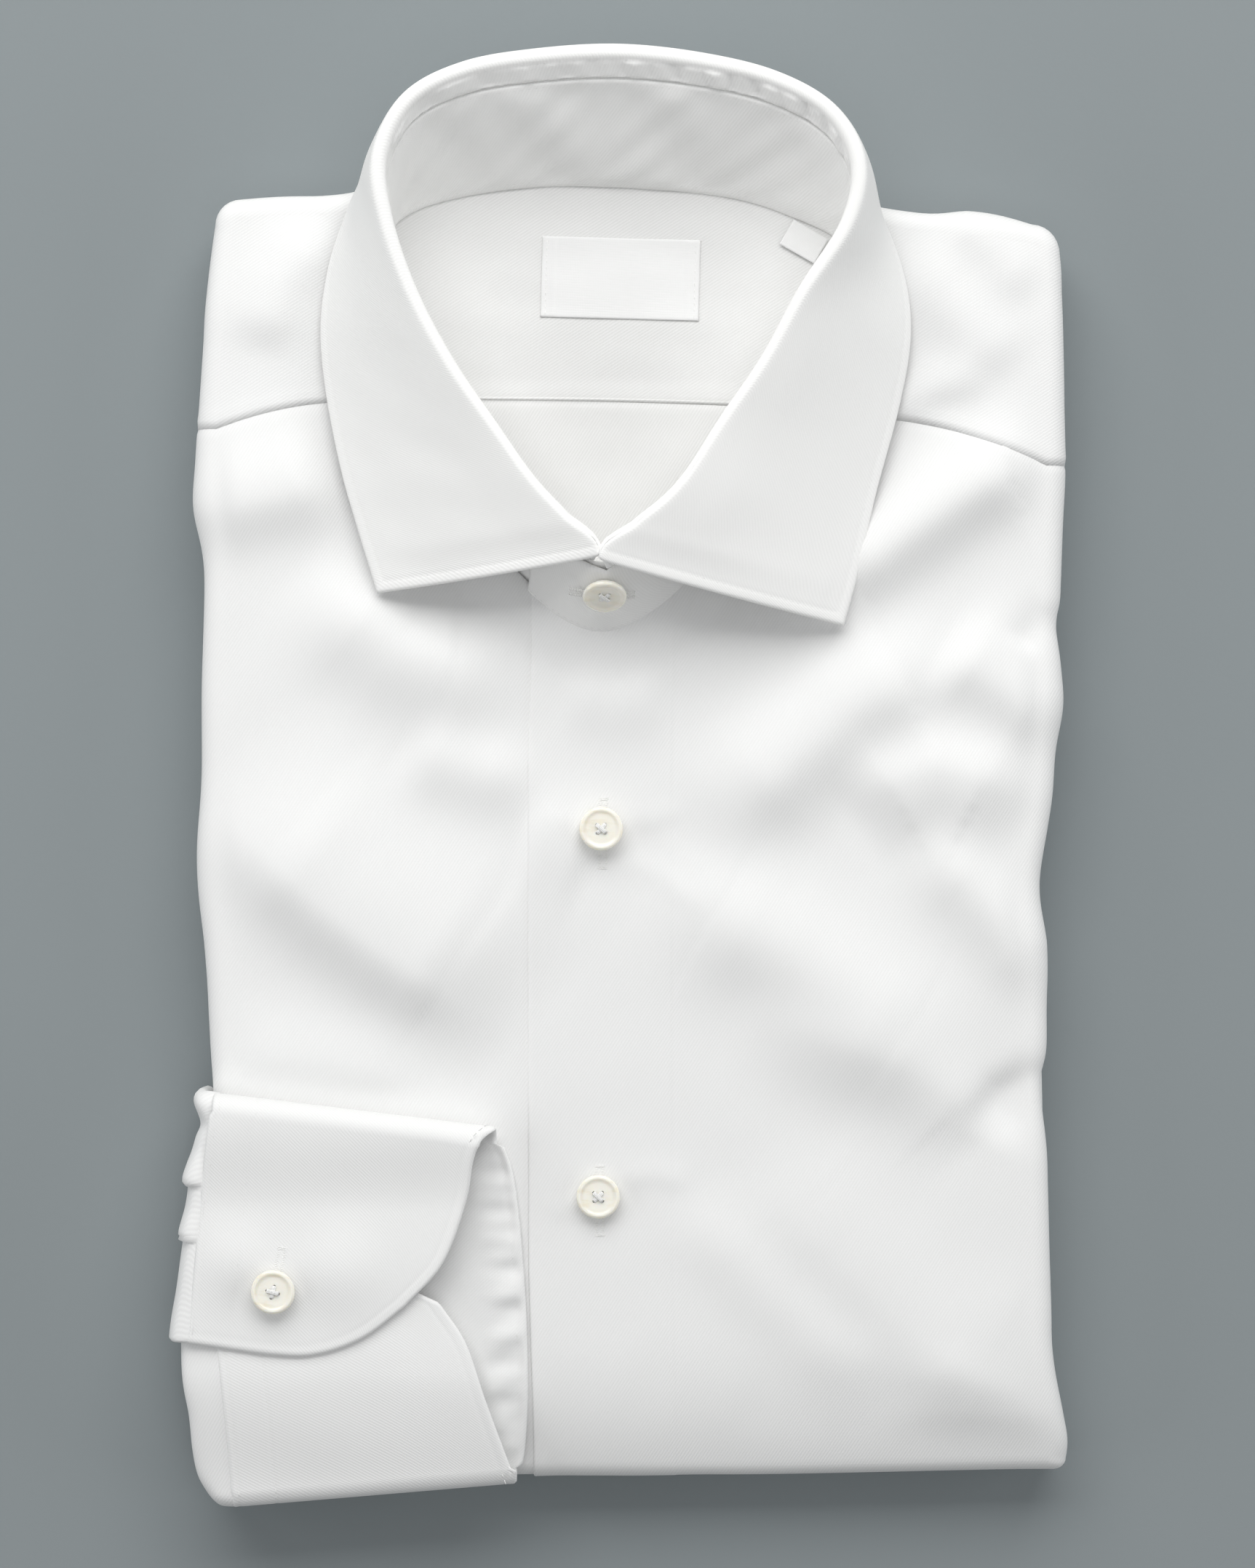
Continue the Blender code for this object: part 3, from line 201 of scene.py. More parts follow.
@functools.lru_cache(maxsize=None)
def fine_curve(rows, closed=False):
    """A smooth curve through the rows as many points, with the length reached at each."""
    rows = np.array(rows, float)
    if closed:
        rows = np.vstack([rows, rows[:1]])
    before = rows[-2] if closed else 2 * rows[0] - rows[1]
    after = rows[1] if closed else 2 * rows[-1] - rows[-2]
    knots = np.vstack([before, rows, after])
    t = np.linspace(0, 1, 25)[:-1, None]
    runs = [smooth_between(*four, t) for four in zip(knots, knots[1:], knots[2:], knots[3:])]
    points = np.vstack(runs + [rows[-1:]])
    return points, travelled(points)


def curve_at(rows, share, closed=False):
    """Points of the smooth curve through the rows at shares of its length."""
    points, length = fine_curve(rows, closed)
    share = np.asarray(share, float)
    at = (share % 1.0 if closed else share) * length[-1]
    return np.stack([np.interp(at, length, points[:, k]) for k in range(points.shape[1])], axis=-1)


def curve(rows, count):
    return curve_at(rows, np.linspace(0, 1, count))


def along(rows, value, key=0, read=1):
    """Reads one column of the smooth curve through the rows at a value of another column."""
    points, _ = fine_curve(rows)
    order = np.argsort(points[:, key])
    return np.interp(value, points[order, key], points[order, read])


def ease(t):
    t = np.clip(t, 0, 1)
    return t * t * (3 - 2 * t)


def blend(a, b, t):
    return a + (b - a) * t


def bump_at(away, width):
    """A soft hump, one high and about one width wide to each side."""
    return np.exp(-((away / width) ** 2))


def ripple(u, v, size, seed, waves=7):
    """Smooth uneven waves of about a given size, between -1 and 1, the same for the same seed."""
    draw = np.random.default_rng(seed)
    total = np.zeros(np.broadcast(u, v).shape)
    for _ in range(waves):
        angle, phase, stretch = draw.uniform(0, TURN), draw.uniform(0, TURN), draw.uniform(0.7, 1.5)
        total = total + np.sin(TURN * (u * np.cos(angle) + v * np.sin(angle)) / (size * stretch) + phase)
    return total / waves**0.5 / 1.6


def left_edge(y):
    return along(BODY_SIDES, y, 0, 1)


def right_edge(y):
    return along(BODY_SIDES, y, 0, 2)


def from_neck(x, y):
    """Distance from the neck seam, seen from above."""
    ring = neck_at(np.linspace(0, 1, 160))
    nearest = np.full(np.broadcast(x, y).shape, 1e9)
    for ring_x, ring_y in ring:
        nearest = np.minimum(nearest, (x - ring_x) ** 2 + (y - ring_y) ** 2)
    return np.sqrt(nearest)


def past_cuff(x):
    """0 under the cuff, 1 to the right of it."""
    return ease((x + 31) / 12)


def bed(x, y):
    """Height of the pile's top before folds: level, and lower at the hem, shoulders and sides."""
    past = np.clip((FRONT_HEM_START - y) / FRONT_HEM_RUN, 0, 1)
    fall = blend(HEM_FALL * ease((HEM_START - y) / HEM_RUN), FRONT_HEM_FALL * past**2.2, past_cuff(x))
    fall = fall + SHOULDER_FALL * ease((y - SHOULDER_START) / SHOULDER_RUN)
    return PILE - fall - SIDE_FALL * ease((np.abs(x - 0.5) - SIDE_START) / SIDE_RUN)


def from_line(x, y, x0, y0, x1, y1):
    """Distance from a straight stretch, and the share of it that has been passed."""
    dx, dy = x1 - x0, y1 - y0
    part = ((x - x0) * dx + (y - y0) * dy) / (dx * dx + dy * dy)
    kept = np.clip(part, 0, 1)
    return np.hypot(x - x0 - kept * dx, y - y0 - kept * dy), part


def front_height(x, y):
    """Top of the fronts' cloth before its folds, where one layer lies on the pile."""
    rise = NECK_RISE * (1 - ease((from_neck(x, y) - 1) / NECK_RISE_RUN)) * (1 - ease((y - 142) / 22))
    return bed(x, y) + rise


def placket_x(y):
    """The left front's free edge."""
    return -26.6 + 1.0 * ease((y - 20) / 40) + 1.3 * ease((-104 - y) / 60)


def neck_at(share):
    """Points of the neck seam at shares of its length."""
    return curve_at(NECK_SEAM, share, closed=True)


def neck_way(share):
    """Direction of the neck seam at shares of its length."""
    return unit(neck_at(share + 0.004) - neck_at(share - 0.004))


def ring_at(out, share):
    """Points of the neck seam moved outwards, at shares of its length."""
    way = neck_way(share)
    return neck_at(share) + np.stack([-way[:, 1], way[:, 0]], axis=1) * np.reshape(out, (-1, 1))


def neck_ring(out, start, end, count):
    return ring_at(out, np.linspace(start, end, count))


def share_at(x, left_side):
    """Share of the neck seam's length where it reaches x on one side of the front."""
    share = np.linspace(0.02, 0.24, 200) if left_side else np.linspace(0.98, 0.78, 200)
    ring = neck_at(share)
    return share[np.argmin(np.abs(ring[:, 0] - x))]


def coons(near, far, left, right, fade=1):
    """A grid of points between four edges: near and far run one way, left and right join them.

    With more fade, the bends of left and right reach less far into the grid.
    """
    near, far, left, right = (np.asarray(edge, float) for edge in (near, far, left, right))
    u = np.linspace(0, 1, len(near))[None, :, None]
    v = np.linspace(0, 1, len(left))[:, None, None]
    bend_left = left[:, None] - blend(near[0], far[0], v)
    bend_right = right[:, None] - blend(near[-1], far[-1], v)
    return blend(near[None], far[None], v) + (1 - u) ** fade * bend_left + u**fade * bend_right


def flow_step(operation, swapped=False):
    """A method of Flow that adds one Math node. Swapped, the other value comes first."""

    def step(self, *others):
        values = (*others, self) if swapped else (self, *others)
        return self.finish.node("ShaderNodeMath", {"operation": operation}, dict(enumerate(values)))

    return step


class Flow:
    """A socket of a finish that takes part in Python arithmetic: each step adds a Math node."""

    def __init__(self, finish, socket):
        self.finish, self.socket = finish, socket

    __add__, __radd__ = flow_step("ADD"), flow_step("ADD", swapped=True)
    __sub__, __mul__, sine = flow_step("SUBTRACT"), flow_step("MULTIPLY"), flow_step("SINE")

    def wave(self):
        """Swings between 0 and 1 as this runs on."""
        return self.sine() * 0.5 + 0.5

    def between(self, low, high):
        """Smoothly 0 at low and 1 at high."""
        ends = {"Value": self, "From Min": low, "From Max": high}
        return self.finish.node("ShaderNodeMapRange", {"interpolation_type": "SMOOTHSTEP"}, ends)


class Finish:
    """A material being made: one method adds any node, another sets a socket of its shader."""

    def __init__(self, name):
        self.material = bpy.data.materials.new(name)
        self.material.use_nodes = True
        self.tree = self.material.node_tree
        self.shader = self.tree.nodes["Principled BSDF"]

    def put(self, socket, value):
        if isinstance(value, Flow):
            self.tree.links.new(value.socket, socket)
        else:
            socket.default_value = value

    def node(self, kind, settings, sockets, *outputs):
        """Adds a node with its settings and its sockets' values or links, and gives the named outputs."""
        made = self.tree.nodes.new(kind)
        for setting, value in settings.items():
            setattr(made, setting, value)
        for key, value in sockets.items():
            self.put(made.inputs[key], value)
        flows = [Flow(self, made.outputs[output]) for output in outputs or (0,)]
        return flows[0] if len(flows) == 1 else flows

    def shade(self, sockets):
        for key, value in sockets.items():
            self.put(self.shader.inputs[key], value)
        return self.material

    def noise(self, vector, scale, detail=2.0, roughness=0.5):
        values = {"Vector": vector, "Scale": scale, "Detail": detail, "Roughness": roughness}
        return self.node("ShaderNodeTexNoise", {}, values)

    def mix(self, share, first, second):
        """A colour between two, each of three parts."""
        sockets = {0: share, 6: (*first, 1.0), 7: (*second, 1.0)}
        return self.node("ShaderNodeMix", {"data_type": "RGBA"}, sockets, 2)

    def bump(self, height, depth):
        """Relief of a height between 0 and 1, its depth in millimetres."""
        return self.node("ShaderNodeBump", {}, {"Height": height, "Distance": depth * MM, "Strength": 1.0})

    def place(self):
        """Place on the object itself, in metres."""
        return self.node("ShaderNodeTexCoord", {}, {}, "Object")

    def cloth_place(self):
        """Place on the cloth in millimetres, across and along its grain."""
        place = self.node("ShaderNodeAttribute", {"attribute_name": "weave"}, {}, "Vector")
        across, lengthways = self.node("ShaderNodeSeparateXYZ", {}, {0: place}, 0, 1)
        return place, across, lengthways


def darker(colour, share):
    return tuple(share * part for part in colour)


# Painted shade: the collar twill's colour between its wales, as a share of its own colour.
FUSED_VALLEY_SHADE = 0.955


def twill_finish(name, colour, valley_shade=None, pitch=0.72, slope=58.0, depth=0.032):
    """White two-fold cotton twill: fine slanting wales, about pitch millimetres apart, with a soft sheen. Its
    colour is darker between the wales, painted shade, mixed with tone that varies at random.
    """
    finish = Finish(name)
    place, across, lengthways = finish.cloth_place()
    c, s = float(np.cos(np.radians(slope))), float(np.sin(np.radians(slope)))
    wale = (lengthways * c - across * s) * (TURN / pitch)
    pick = ((across * c + lengthways * s) * (TURN / (pitch * 1.3)) + wale * 0.5).wave()
    fuzz = finish.noise(place, 1.6, 3.0, 0.65)
    cloud = finish.noise(place, 0.045, 3.0, 0.55)
    ridge = (wale + (fuzz - 0.5) * 1.6).wave()
    relief = ridge * 0.7 + pick * ridge * 0.2 + fuzz * 0.3
    # Painted shade along the valleys between the wales, mixed with tone that varies at random.
    valley_shade_and_tone = (ridge * 0.55 + fuzz * 0.25 + cloud * 0.35).between(0.05, 0.95)
    return finish.shade(
        {
            "Base Color": finish.mix(valley_shade_and_tone, valley_shade or darker(colour, FUSED_VALLEY_SHADE), colour),
            "Roughness": 0.78 + fuzz * 0.12,
            "Normal": finish.bump(relief, depth),
            "Sheen Weight": 0.04,
            "Sheen Roughness": 0.45,
            "Specular IOR Level": 0.2,
        }
    )


def thread_finish(name, colour):
    """Sewing thread with its twist."""
    finish = Finish(name)
    grain = finish.noise(finish.place(), 2600.0, 2.0, 0.6)
    return finish.shade(
        {
            "Base Color": finish.mix(grain.between(0.3, 0.65), darker(colour, 0.86), colour),
            "Roughness": 0.55 + grain * 0.2,
            "Normal": finish.bump(grain, 0.04),
            "Sheen Weight": 0.15,
            "Specular IOR Level": 0.35,
        }
    )


def shell_finish(name, pale, warm):
    """Polished shell: cream with soft cloudy bands."""
    finish = Finish(name)
    place = finish.place()
    bent = finish.noise(place, 160.0)
    stretched = finish.node("ShaderNodeVectorMath", {"operation": "MULTIPLY"}, {0: place, 1: (1.0, 3.2, 1.0)})
    cloud = finish.noise(stretched, 210.0, 3.0, 0.55)
    band = ((cloud + bent * 0.6) * 9.0).wave()
    return finish.shade(
        {
            "Base Color": finish.mix((band * 0.3 + cloud * 0.7).between(0.15, 0.75), warm, pale),
            "Roughness": 0.16 + band * 0.1,
            "Normal": finish.bump(cloud, 0.012),
            "Coat Weight": 0.5,
            "Coat Roughness": 0.08,
            "Subsurface Weight": 0.4,
            "Subsurface Radius": (0.0012, 0.001, 0.0007),
            "Subsurface Scale": 1.0,
        }
    )


def tape_finish(name, colour, valley_shade, pitch=0.34):
    """Smooth woven tape of a neck label: fine cross ribs with a faint satin gloss. Its colour is darker
    between the ribs, painted shade, mixed with tone that varies at random.
    """
    finish = Finish(name)
    place, across, lengthways = finish.cloth_place()
    fuzz = finish.noise(place, 1.8, 2.0, 0.6)
    rib = (lengthways * (TURN / pitch) + fuzz * 1.2).wave()
    fine = (across * (TURN / (pitch * 0.8))).wave()
    return finish.shade(
        {
            # Painted shade between the ribs, mixed with random tone.
            "Base Color": finish.mix(rib * 0.5 + fuzz * 0.5, valley_shade, colour),
            "Roughness": 0.5 + fuzz * 0.15,
            "Normal": finish.bump(rib * 0.7 + fine * 0.3, 0.025),
            "Sheen Weight": 0.1,
            "Specular IOR Level": 0.4,
        }
    )


def floor_finish(name, colour):
    """Matte studio paper."""
    finish = Finish(name)
    place = finish.place()
    grain = finish.noise(place, 900.0, 3.0, 0.6)
    cloud = finish.noise(place, 2.2)
    return finish.shade(
        {
            "Base Color": finish.mix(cloud * 0.6 + grain * 0.4, darker(colour, 0.965), colour),
            "Roughness": 0.9 + grain * 0.06,
            "Normal": finish.bump(grain, 0.02),
            "Specular IOR Level": 0.2,
        }
    )


inside_finish = functools.partial(twill_finish, depth=0.022)

# For each kind: what makes it, the material's name, and its colours in the panel. The fused twill is a
# lighter copy of the twill, painted light; the inside is a darker copy, painted shade; and the low colour is
# painted shade between the wales or ribs.
FINISHES = {
    "twill": (twill_finish, "twill", "cloth_colour", "valley_colour"),
    "fused": (twill_finish, "twill_fused", "fused_colour"),
    "lining": (inside_finish, "twill_inside", "lining_colour", "valley_colour"),
    "thread": (thread_finish, "thread", "thread_colour"),
    "shell": (shell_finish, "shell", "shell_colour", "shell_warm"),
    "tape": (tape_finish, "tape", "tape_colour", "valley_colour"),
    "floor": (floor_finish, "studio_paper", "floor_colour"),
}


def settings():
    return bpy.context.scene.folded_shirt


@functools.lru_cache(maxsize=None)
def finish_of(kind):
    """Each finish is made once, from the colours in the panel."""
    make, name, *colours = FINISHES[kind]
    return make(name, *(tuple(getattr(settings(), colour)) for colour in colours))


def added(name, data):
    """A new object in the scene."""
    made = bpy.data.objects.new(name, data)
    bpy.context.scene.collection.objects.link(made)
    return made


def piece(name, points, faces, kind, weave=None):
    """A shown piece, made from points in millimetres, that rides with the shirt."""
    mesh = bpy.data.meshes.new(name)
    mesh.from_pydata((np.asarray(points, float) * MM).tolist(), [], [tuple(face) for face in faces])
    if mesh.validate():
        raise RuntimeError(f"{name} has faulty faces")
    if weave is not None:
        flat = np.zeros((len(mesh.vertices), 3))
        flat[:, :2] = np.reshape(weave, (-1, 2))
        mesh.attributes.new("weave", "FLOAT_VECTOR", "POINT").data.foreach_set("vector", flat.ravel())
    mesh.shade_smooth()
    mesh.materials.append(finish_of(kind))
    made = added(name, mesh)
    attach(made, "root")
    return made


def grid_faces(rows, columns):
    corners = [r * columns + c for r in range(rows - 1) for c in range(columns - 1)]
    return [(k, k + columns, k + columns + 1, k + 1) for k in corners]


def grid_normals(grid):
    """Unit normals of a grid of points: up for rows that run to the hem and columns that run to the right."""
    return unit(np.cross(np.gradient(grid, axis=0), np.gradient(grid, axis=1)))


def lengths(grid, axis):
    """Length reached along the rows or columns of a grid."""
    steps = np.linalg.norm(np.diff(grid, axis=axis), axis=2)
    start = np.zeros_like(np.take(steps, [0], axis=axis))
    return np.concatenate([start, np.cumsum(steps, axis=axis)], axis=axis)


def cloth_shell(name, middle, half, weave, kind="twill", normals=None):
    """A closed piece of cloth from the grid of its middle and its half thickness at each point."""
    rows, columns = middle.shape[:2]
    if normals is None:
        normals = grid_normals(middle)
    reach = normals * np.broadcast_to(half, (rows, columns))[..., None]
    points = np.vstack([(middle + reach).reshape(-1, 3), (middle - reach).reshape(-1, 3)])
    count = rows * columns
    top = grid_faces(rows, columns)
    faces = top + [(a + count, d + count, c + count, b + count) for a, b, c, d in top]
    index = np.arange(count).reshape(rows, columns)
    loop = np.concatenate([index[0, :-1], index[:-1, -1], index[-1, :0:-1], index[:0:-1, 0]])
    faces += [(i, j, j + count, i + count) for i, j in zip(loop, np.roll(loop, -1))]
    return piece(name, points, faces, kind, np.vstack([weave.reshape(-1, 2)] * 2))


def edge_round(distance, radius, full, least=0.05):
    """Half thickness near an edge: rounded off over a radius."""
    inside = np.clip(distance / radius, 0, 1)
    return np.maximum(full * np.sqrt(1 - (1 - inside) ** 2), least)


def spline_rows(rows, at):
    """Smooth rows between given rows of points, at places counted in rows."""
    rows = np.asarray(rows, float)
    padded = np.concatenate([[2 * rows[0] - rows[1]], rows, [2 * rows[-1] - rows[-2]]])
    at = np.clip(np.asarray(at, float), 0, len(rows) - 1 - 1e-9)
    k = at.astype(int)
    t = (at - k)[:, None, None]
    return smooth_between(padded[k], padded[k + 1], padded[k + 2], padded[k + 3], t)


def ring_faces(low, high, count):
    """Faces between two rings of points, each given by the number of its first point."""
    return [(low + a, low + (a + 1) % count, high + (a + 1) % count, high + a) for a in range(count)]


STITCH_SIDES = 5
# Columns: share of a stitch's length from its middle, share of its thickness
STITCH_SHAPE = ((-0.5, 0.0), (-0.4, 0.75), (0.0, 1.0), (0.4, 0.75), (0.5, 0.0))


def stitch_run(points, normals, pitch=1.9, length=1.35, thick=0.28, sink=0.12, across=False):
    """Stitches along a line of points: one small spindle of thread each, sunk a little into the cloth.

    With across, each lies across the line, side by side with the next as in a buttonhole.
    """
    points, normals = np.asarray(points, float), np.asarray(normals, float)
    reached = travelled(points)
    middles = np.arange(pitch / 2, reached[-1], pitch)

    def read(values, at):
        return np.stack([np.interp(at, reached, values[:, k]) for k in range(3)], axis=1)

    here = read(points, middles)
    way = unit(read(points, middles + 0.3) - read(points, middles - 0.3))
    up = square_to(read(normals, middles), way)
    side = np.cross(way, up)
    if across:
        way, side = side, way
    rings = []
    for share, width in STITCH_SHAPE:
        sides = 1 if width == 0 else STITCH_SIDES
        for step in range(sides):
            angle = TURN * step / sides
            out = (np.cos(angle) * up + np.sin(angle) * side) * (width * thick / 2)
            bow = up * ((0.25 - share**2) * 0.16 - sink)
            rings.append(here + way * (share * length) + out + bow)
    spots = np.stack(rings, axis=1)
    first, second, third, last = (1 + row * STITCH_SIDES for row in range(4))
    pairs = [(a, (a + 1) % STITCH_SIDES) for a in range(STITCH_SIDES)]
    one = [(0, first + b, first + a) for a, b in pairs]
    one += ring_faces(first, second, STITCH_SIDES) + ring_faces(second, third, STITCH_SIDES)
    one += [(third + a, third + b, last) for a, b in pairs]
    faces = [tuple(k + (last + 1) * n for k in face) for n in range(len(here)) for face in one]
    return spots.reshape(-1, 3), faces


def stitching(name, runs):
    """All the stitch lines of one piece as one object. Each run is the points and faces of a stitch_run."""
    points, faces, start = [], [], 0
    for spots, shapes in runs:
        points.append(spots)
        faces += [tuple(k + start for k in face) for face in shapes]
        start += len(spots)
    return piece(name, np.vstack(points), faces, "thread")


# Soft folds of the fronts and the yoke.
# Columns: height, width towards the hem, width towards the shoulders, points of the crest from the left
CRESTS = (
    (4.6, 11, 16, (-118, 91), (-104, 88), (-90, 91), (-74, 98)),
    (5.2, 15, 12, (-88, 72), (-72, 58), (-61, 49), (-46, 44), (-22, 50)),
    (2.7, 10, 9, (-60, 26), (-49, 20), (-38, 17), (-20, 17)),
    (7.2, 13, 30, (-114, 15), (-94, -4), (-79, -17.5), (-64, -28.5), (-49, -38), (-30, -54)),
    (1.2, 6, 10, (-110, -54), (-80, -57), (-50, -62)),
    (1.9, 14, 9, (-30, 3), (-18, 0), (-9, -3)),
    (1.6, 9, 8, (-20, 39), (-4, 36), (12, 38)),
    (6.2, 10, 12, (38, 53), (57, 69.5), (71, 79.5), (84, 88.5), (98, 97), (114, 99)),
    (-1.6, 3.5, 5, (101, 49), (106, 55), (112, 60)),
    (4.2, 10, 12, (80, 51), (91, 45), (102, 37), (116, 26)),
    (5.8, 13, 15, (16, -3), (31, 11), (44, 23), (57, 34), (72, 42), (94, 46)),
    (4.6, 15, 10, (56, 6), (68, 14), (80, 18), (92, 15), (106, 5)),
    (5.0, 15, 15, (0, -10), (22, -18.5), (40, -29), (54, -38.5), (72, -50), (98, -60)),
    (3.4, 10, 8, (72, 2), (88, -12), (100, -25), (113, -41)),
    (2.6, 13, 10, (24, -46), (48, -53), (70, -60), (85, -69), (93, -80)),
    (-3.0, 12, 5, (90, -78), (97, -66.5), (105, -62.5), (118, -62)),
    (2.3, 12, 20, (26, -82), (44, -97), (60, -114), (76, -129), (92, -139), (108, -147)),
    (1.6, 10, 9, (10, -92), (24, -106), (38, -121), (54, -134), (74, -146)),
    (1.2, 14, 8, (62, -142), (84, -141), (100, -147), (118, -162)),
    (2.2, 7, 10, (-97, 126), (-91, 145), (-79, 163)),
    (1.8, 7, 8, (82, 166), (95, 155), (107, 141)),
    (2.0, 8, 9, (72, 158), (81, 143), (92, 130), (101, 121)),
    (1.7, 4.5, 7, (66, 110), (78, 118), (95, 122)),
    (0.35, 3, 4, (-5, 6), (4, 5), (16, 9)),
    (0.35, 3.5, 3, (-4, -3), (8, -9), (22, -20)),
    (0.3, 3, 3, (-24, 8), (-17, 5), (-10, 4)),
    (0.35, 3, 4, (-5, -89), (6, -87), (18, -90)),
    (0.3, 3, 3, (-22, -98), (-15, -95), (-10, -94)),
)


def crest(x, y, line):
    """Distance from a drawn line, positive towards the shoulders, and how much of its height is reached."""
    nearest = np.full(np.broadcast(x, y).shape, 1e9)
    signed, place = nearest.copy(), np.zeros(nearest.shape)
    for number, ((x0, y0), (x1, y1)) in enumerate(zip(line, line[1:])):
        away, part = from_line(x, y, x0, y0, x1, y1)
        side = (x1 - x0) * (y - y0) - (y1 - y0) * (x - x0)
        closer = away < nearest
        nearest = np.where(closer, away, nearest)
        signed = np.where(closer, away * np.sign(side), signed)
        place = np.where(closer, number + np.clip(part, 0, 1), place)
    share = place / (len(line) - 1)
    return signed, ease(share / 0.3) * ease((1 - share) / 0.3)


def front_detail(x, y):
    """Folds and fine relief that both fronts and the yoke share, so that one never cuts through the other."""
    total = np.zeros(np.broadcast(x, y).shape)
    for height, hem_side, shoulder_side, *line in CRESTS:
        away, reached = crest(x, y, line)
        total = total + height * reached * bump_at(away, np.where(away < 0, hem_side, shoulder_side))
    total = total + 0.12 * ripple(x, y, 42.0, 3) + 0.05 * ripple(x, y * 0.8, 17.0, 5)
    rim = np.minimum(x - left_edge(y), right_edge(y) - x)
    clear = ease((from_neck(x, y) - 3) / 10) * (0.4 + 0.6 * ease((rim - 2) / 9)) * ease((y + 163) / 14)
    under_cuff = ease((-24 - x) / 8) * ease((-62 - y) / 8)
    return total * clear * (1 - 0.9 * under_cuff)


def yoke_lap(x, y):
    """How far a place lies past the yoke seam, towards the shoulder."""
    left, right = along(YOKE_SEAM_LEFT, x), along(YOKE_SEAM_RIGHT, x)
    return y - np.where(x < -7.5, left, right)


def under_yoke(x, y):
    """How much the fronts sink where they go under the yoke's edge."""
    return YOKE_DIP * ease((yoke_lap(x, y) + 1.6) / 1.8)


def placket_lift(x, y):
    """How much higher the left front lies where it covers the right one, with a small step at its facing."""
    past = x - placket_x(y) - FACING
    return FACING_STEP * (1 - ease((past + 0.3) / 1.5)) + LAP_LIFT * (1 - ease((past + 14.0) / 24.0))


def hem_slope(x):
    """How far the cloth already leans where it starts to turn down at the hem."""
    return HEM_SLOPE * past_cuff(x)


TURN_STEPS = 12
TURN_MOST = np.radians(160)


def turned_grid(inner, height, sides):
    """Adds the rim that turns down over the pile's edge to a grid of flat places with heights.

    inner is (rows, columns, 3); sides names the turned ones among "left", "right" and "foot".
    """
    rows, columns = inner.shape[:2]
    west = TURN_STEPS if "left" in sides else 0
    east = TURN_STEPS if "right" in sides else 0
    south = TURN_STEPS if "foot" in sides else 0
    r = np.arange(rows + south)[:, None]
    c = np.arange(-west, columns + east)[None, :]
    base = inner[np.clip(r, 0, rows - 1), np.clip(c, 0, columns - 1)]
    a = np.where(c < 0, -c, np.where(c >= columns, c - columns + 1, 0)) / TURN_STEPS + 0.0 * r
    b = np.where(r >= rows, r - rows + 1, 0) / TURN_STEPS + 0.0 * c
    reach = np.maximum(a, b)
    # Painted shade: the twill's colour between its wales.
    least = np.minimum(a, b)
    # Painted shade: a darker copy of the same twill, for the inside of the neck.
    slant = np.pi / 4 * least / np.maximum(reach, 1e-9)
    # Painted light: a lighter copy of the same twill, for the collar stand and fall.
    swing = np.where(a >= b, slant, np.pi / 2 - slant)
    side = np.where(c < 0, -1.0, 1.0)
    radius = EDGE_RADIUS + base[..., 2] - height(base[..., 0], base[..., 1])
    start = hem_slope(base[..., 0]) * (b > 0) * np.sin(swing) ** 2
    turn = start + (TURN_MOST - start) * reach
    out = radius * (np.sin(turn) - np.sin(start))
    x = base[..., 0] + side * np.cos(swing) * out * (a > 0)
    y = base[..., 1] - np.sin(swing) * out * (b > 0)
    z = base[..., 2] - radius * (np.cos(start) - np.cos(turn))
    return np.stack([x, y, z], axis=-1)


def laid_under(outer, thick):
    """The middle of a cloth whose upper face is given."""
    return outer - grid_normals(outer) * thick / 2


def front_places(columns_x, top_y, rows):
    """Flat places of a front: each column runs from its top to the hem fold."""
    share = np.linspace(0, 1, rows)[:, None]
    y = blend(70.0, -160.0, share) + np.zeros((rows, columns_x(np.zeros((1, 1))).shape[1]))
    for _ in range(6):
        x = columns_x(y)
        foot = along(HEM_FOLD, x[-1]) + EDGE_RADIUS * (1 - np.sin(hem_slope(x[-1])))
        y = blend(top_y(x[0])[None], foot[None], share)
    return x, y


def top_line(*stretches):
    """One line of top ends, by x, from stretches of seams and of the neck."""
    line = np.vstack(stretches)
    line = line[np.argsort(line[:, 0])]
    return lambda x: np.interp(x, line[:, 0], line[:, 1])


FRONT_THICK = 0.6
FRONT_ROWS = 190
SEAM_LAP = 1.6


def front_cloth(node, side, x, y, lift):
    """One front from its flat places: laid over the pile, and turned down at its outer edge and hem."""
    z = front_height(x, y) + lift + front_detail(x, y) - under_yoke(x, y)
    grid = turned_grid(np.dstack([x, y, z]), front_height, (side, "foot"))
    made = cloth_shell(f"{node}_cloth", laid_under(grid, FRONT_THICK), FRONT_THICK / 2, grid[..., :2])
    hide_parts(node)
    return made


def make_front_right():
    inner = placket_x(0.0) + FACING
    shares = np.linspace(0, 1, 96)[None]

    def columns_x(y):
        return blend(left_edge(y) + EDGE_RADIUS, inner, shares)

    neck = neck_ring(0.2, 0.0, YOKE_START, 80)
    past = neck_ring(0.7, share_at(inner, False), 1.0, 30)
    seam = curve(YOKE_SEAM_LEFT, 60) + (0, SEAM_LAP)
    top_y = top_line(seam[seam[:, 0] < neck[-1, 0] - 0.5], neck[::-1], past[::-1][1:])
    return front_cloth("front_right", "left", *front_places(columns_x, top_y, FRONT_ROWS), 0.0)


PLACKET_ROUND = 0.6


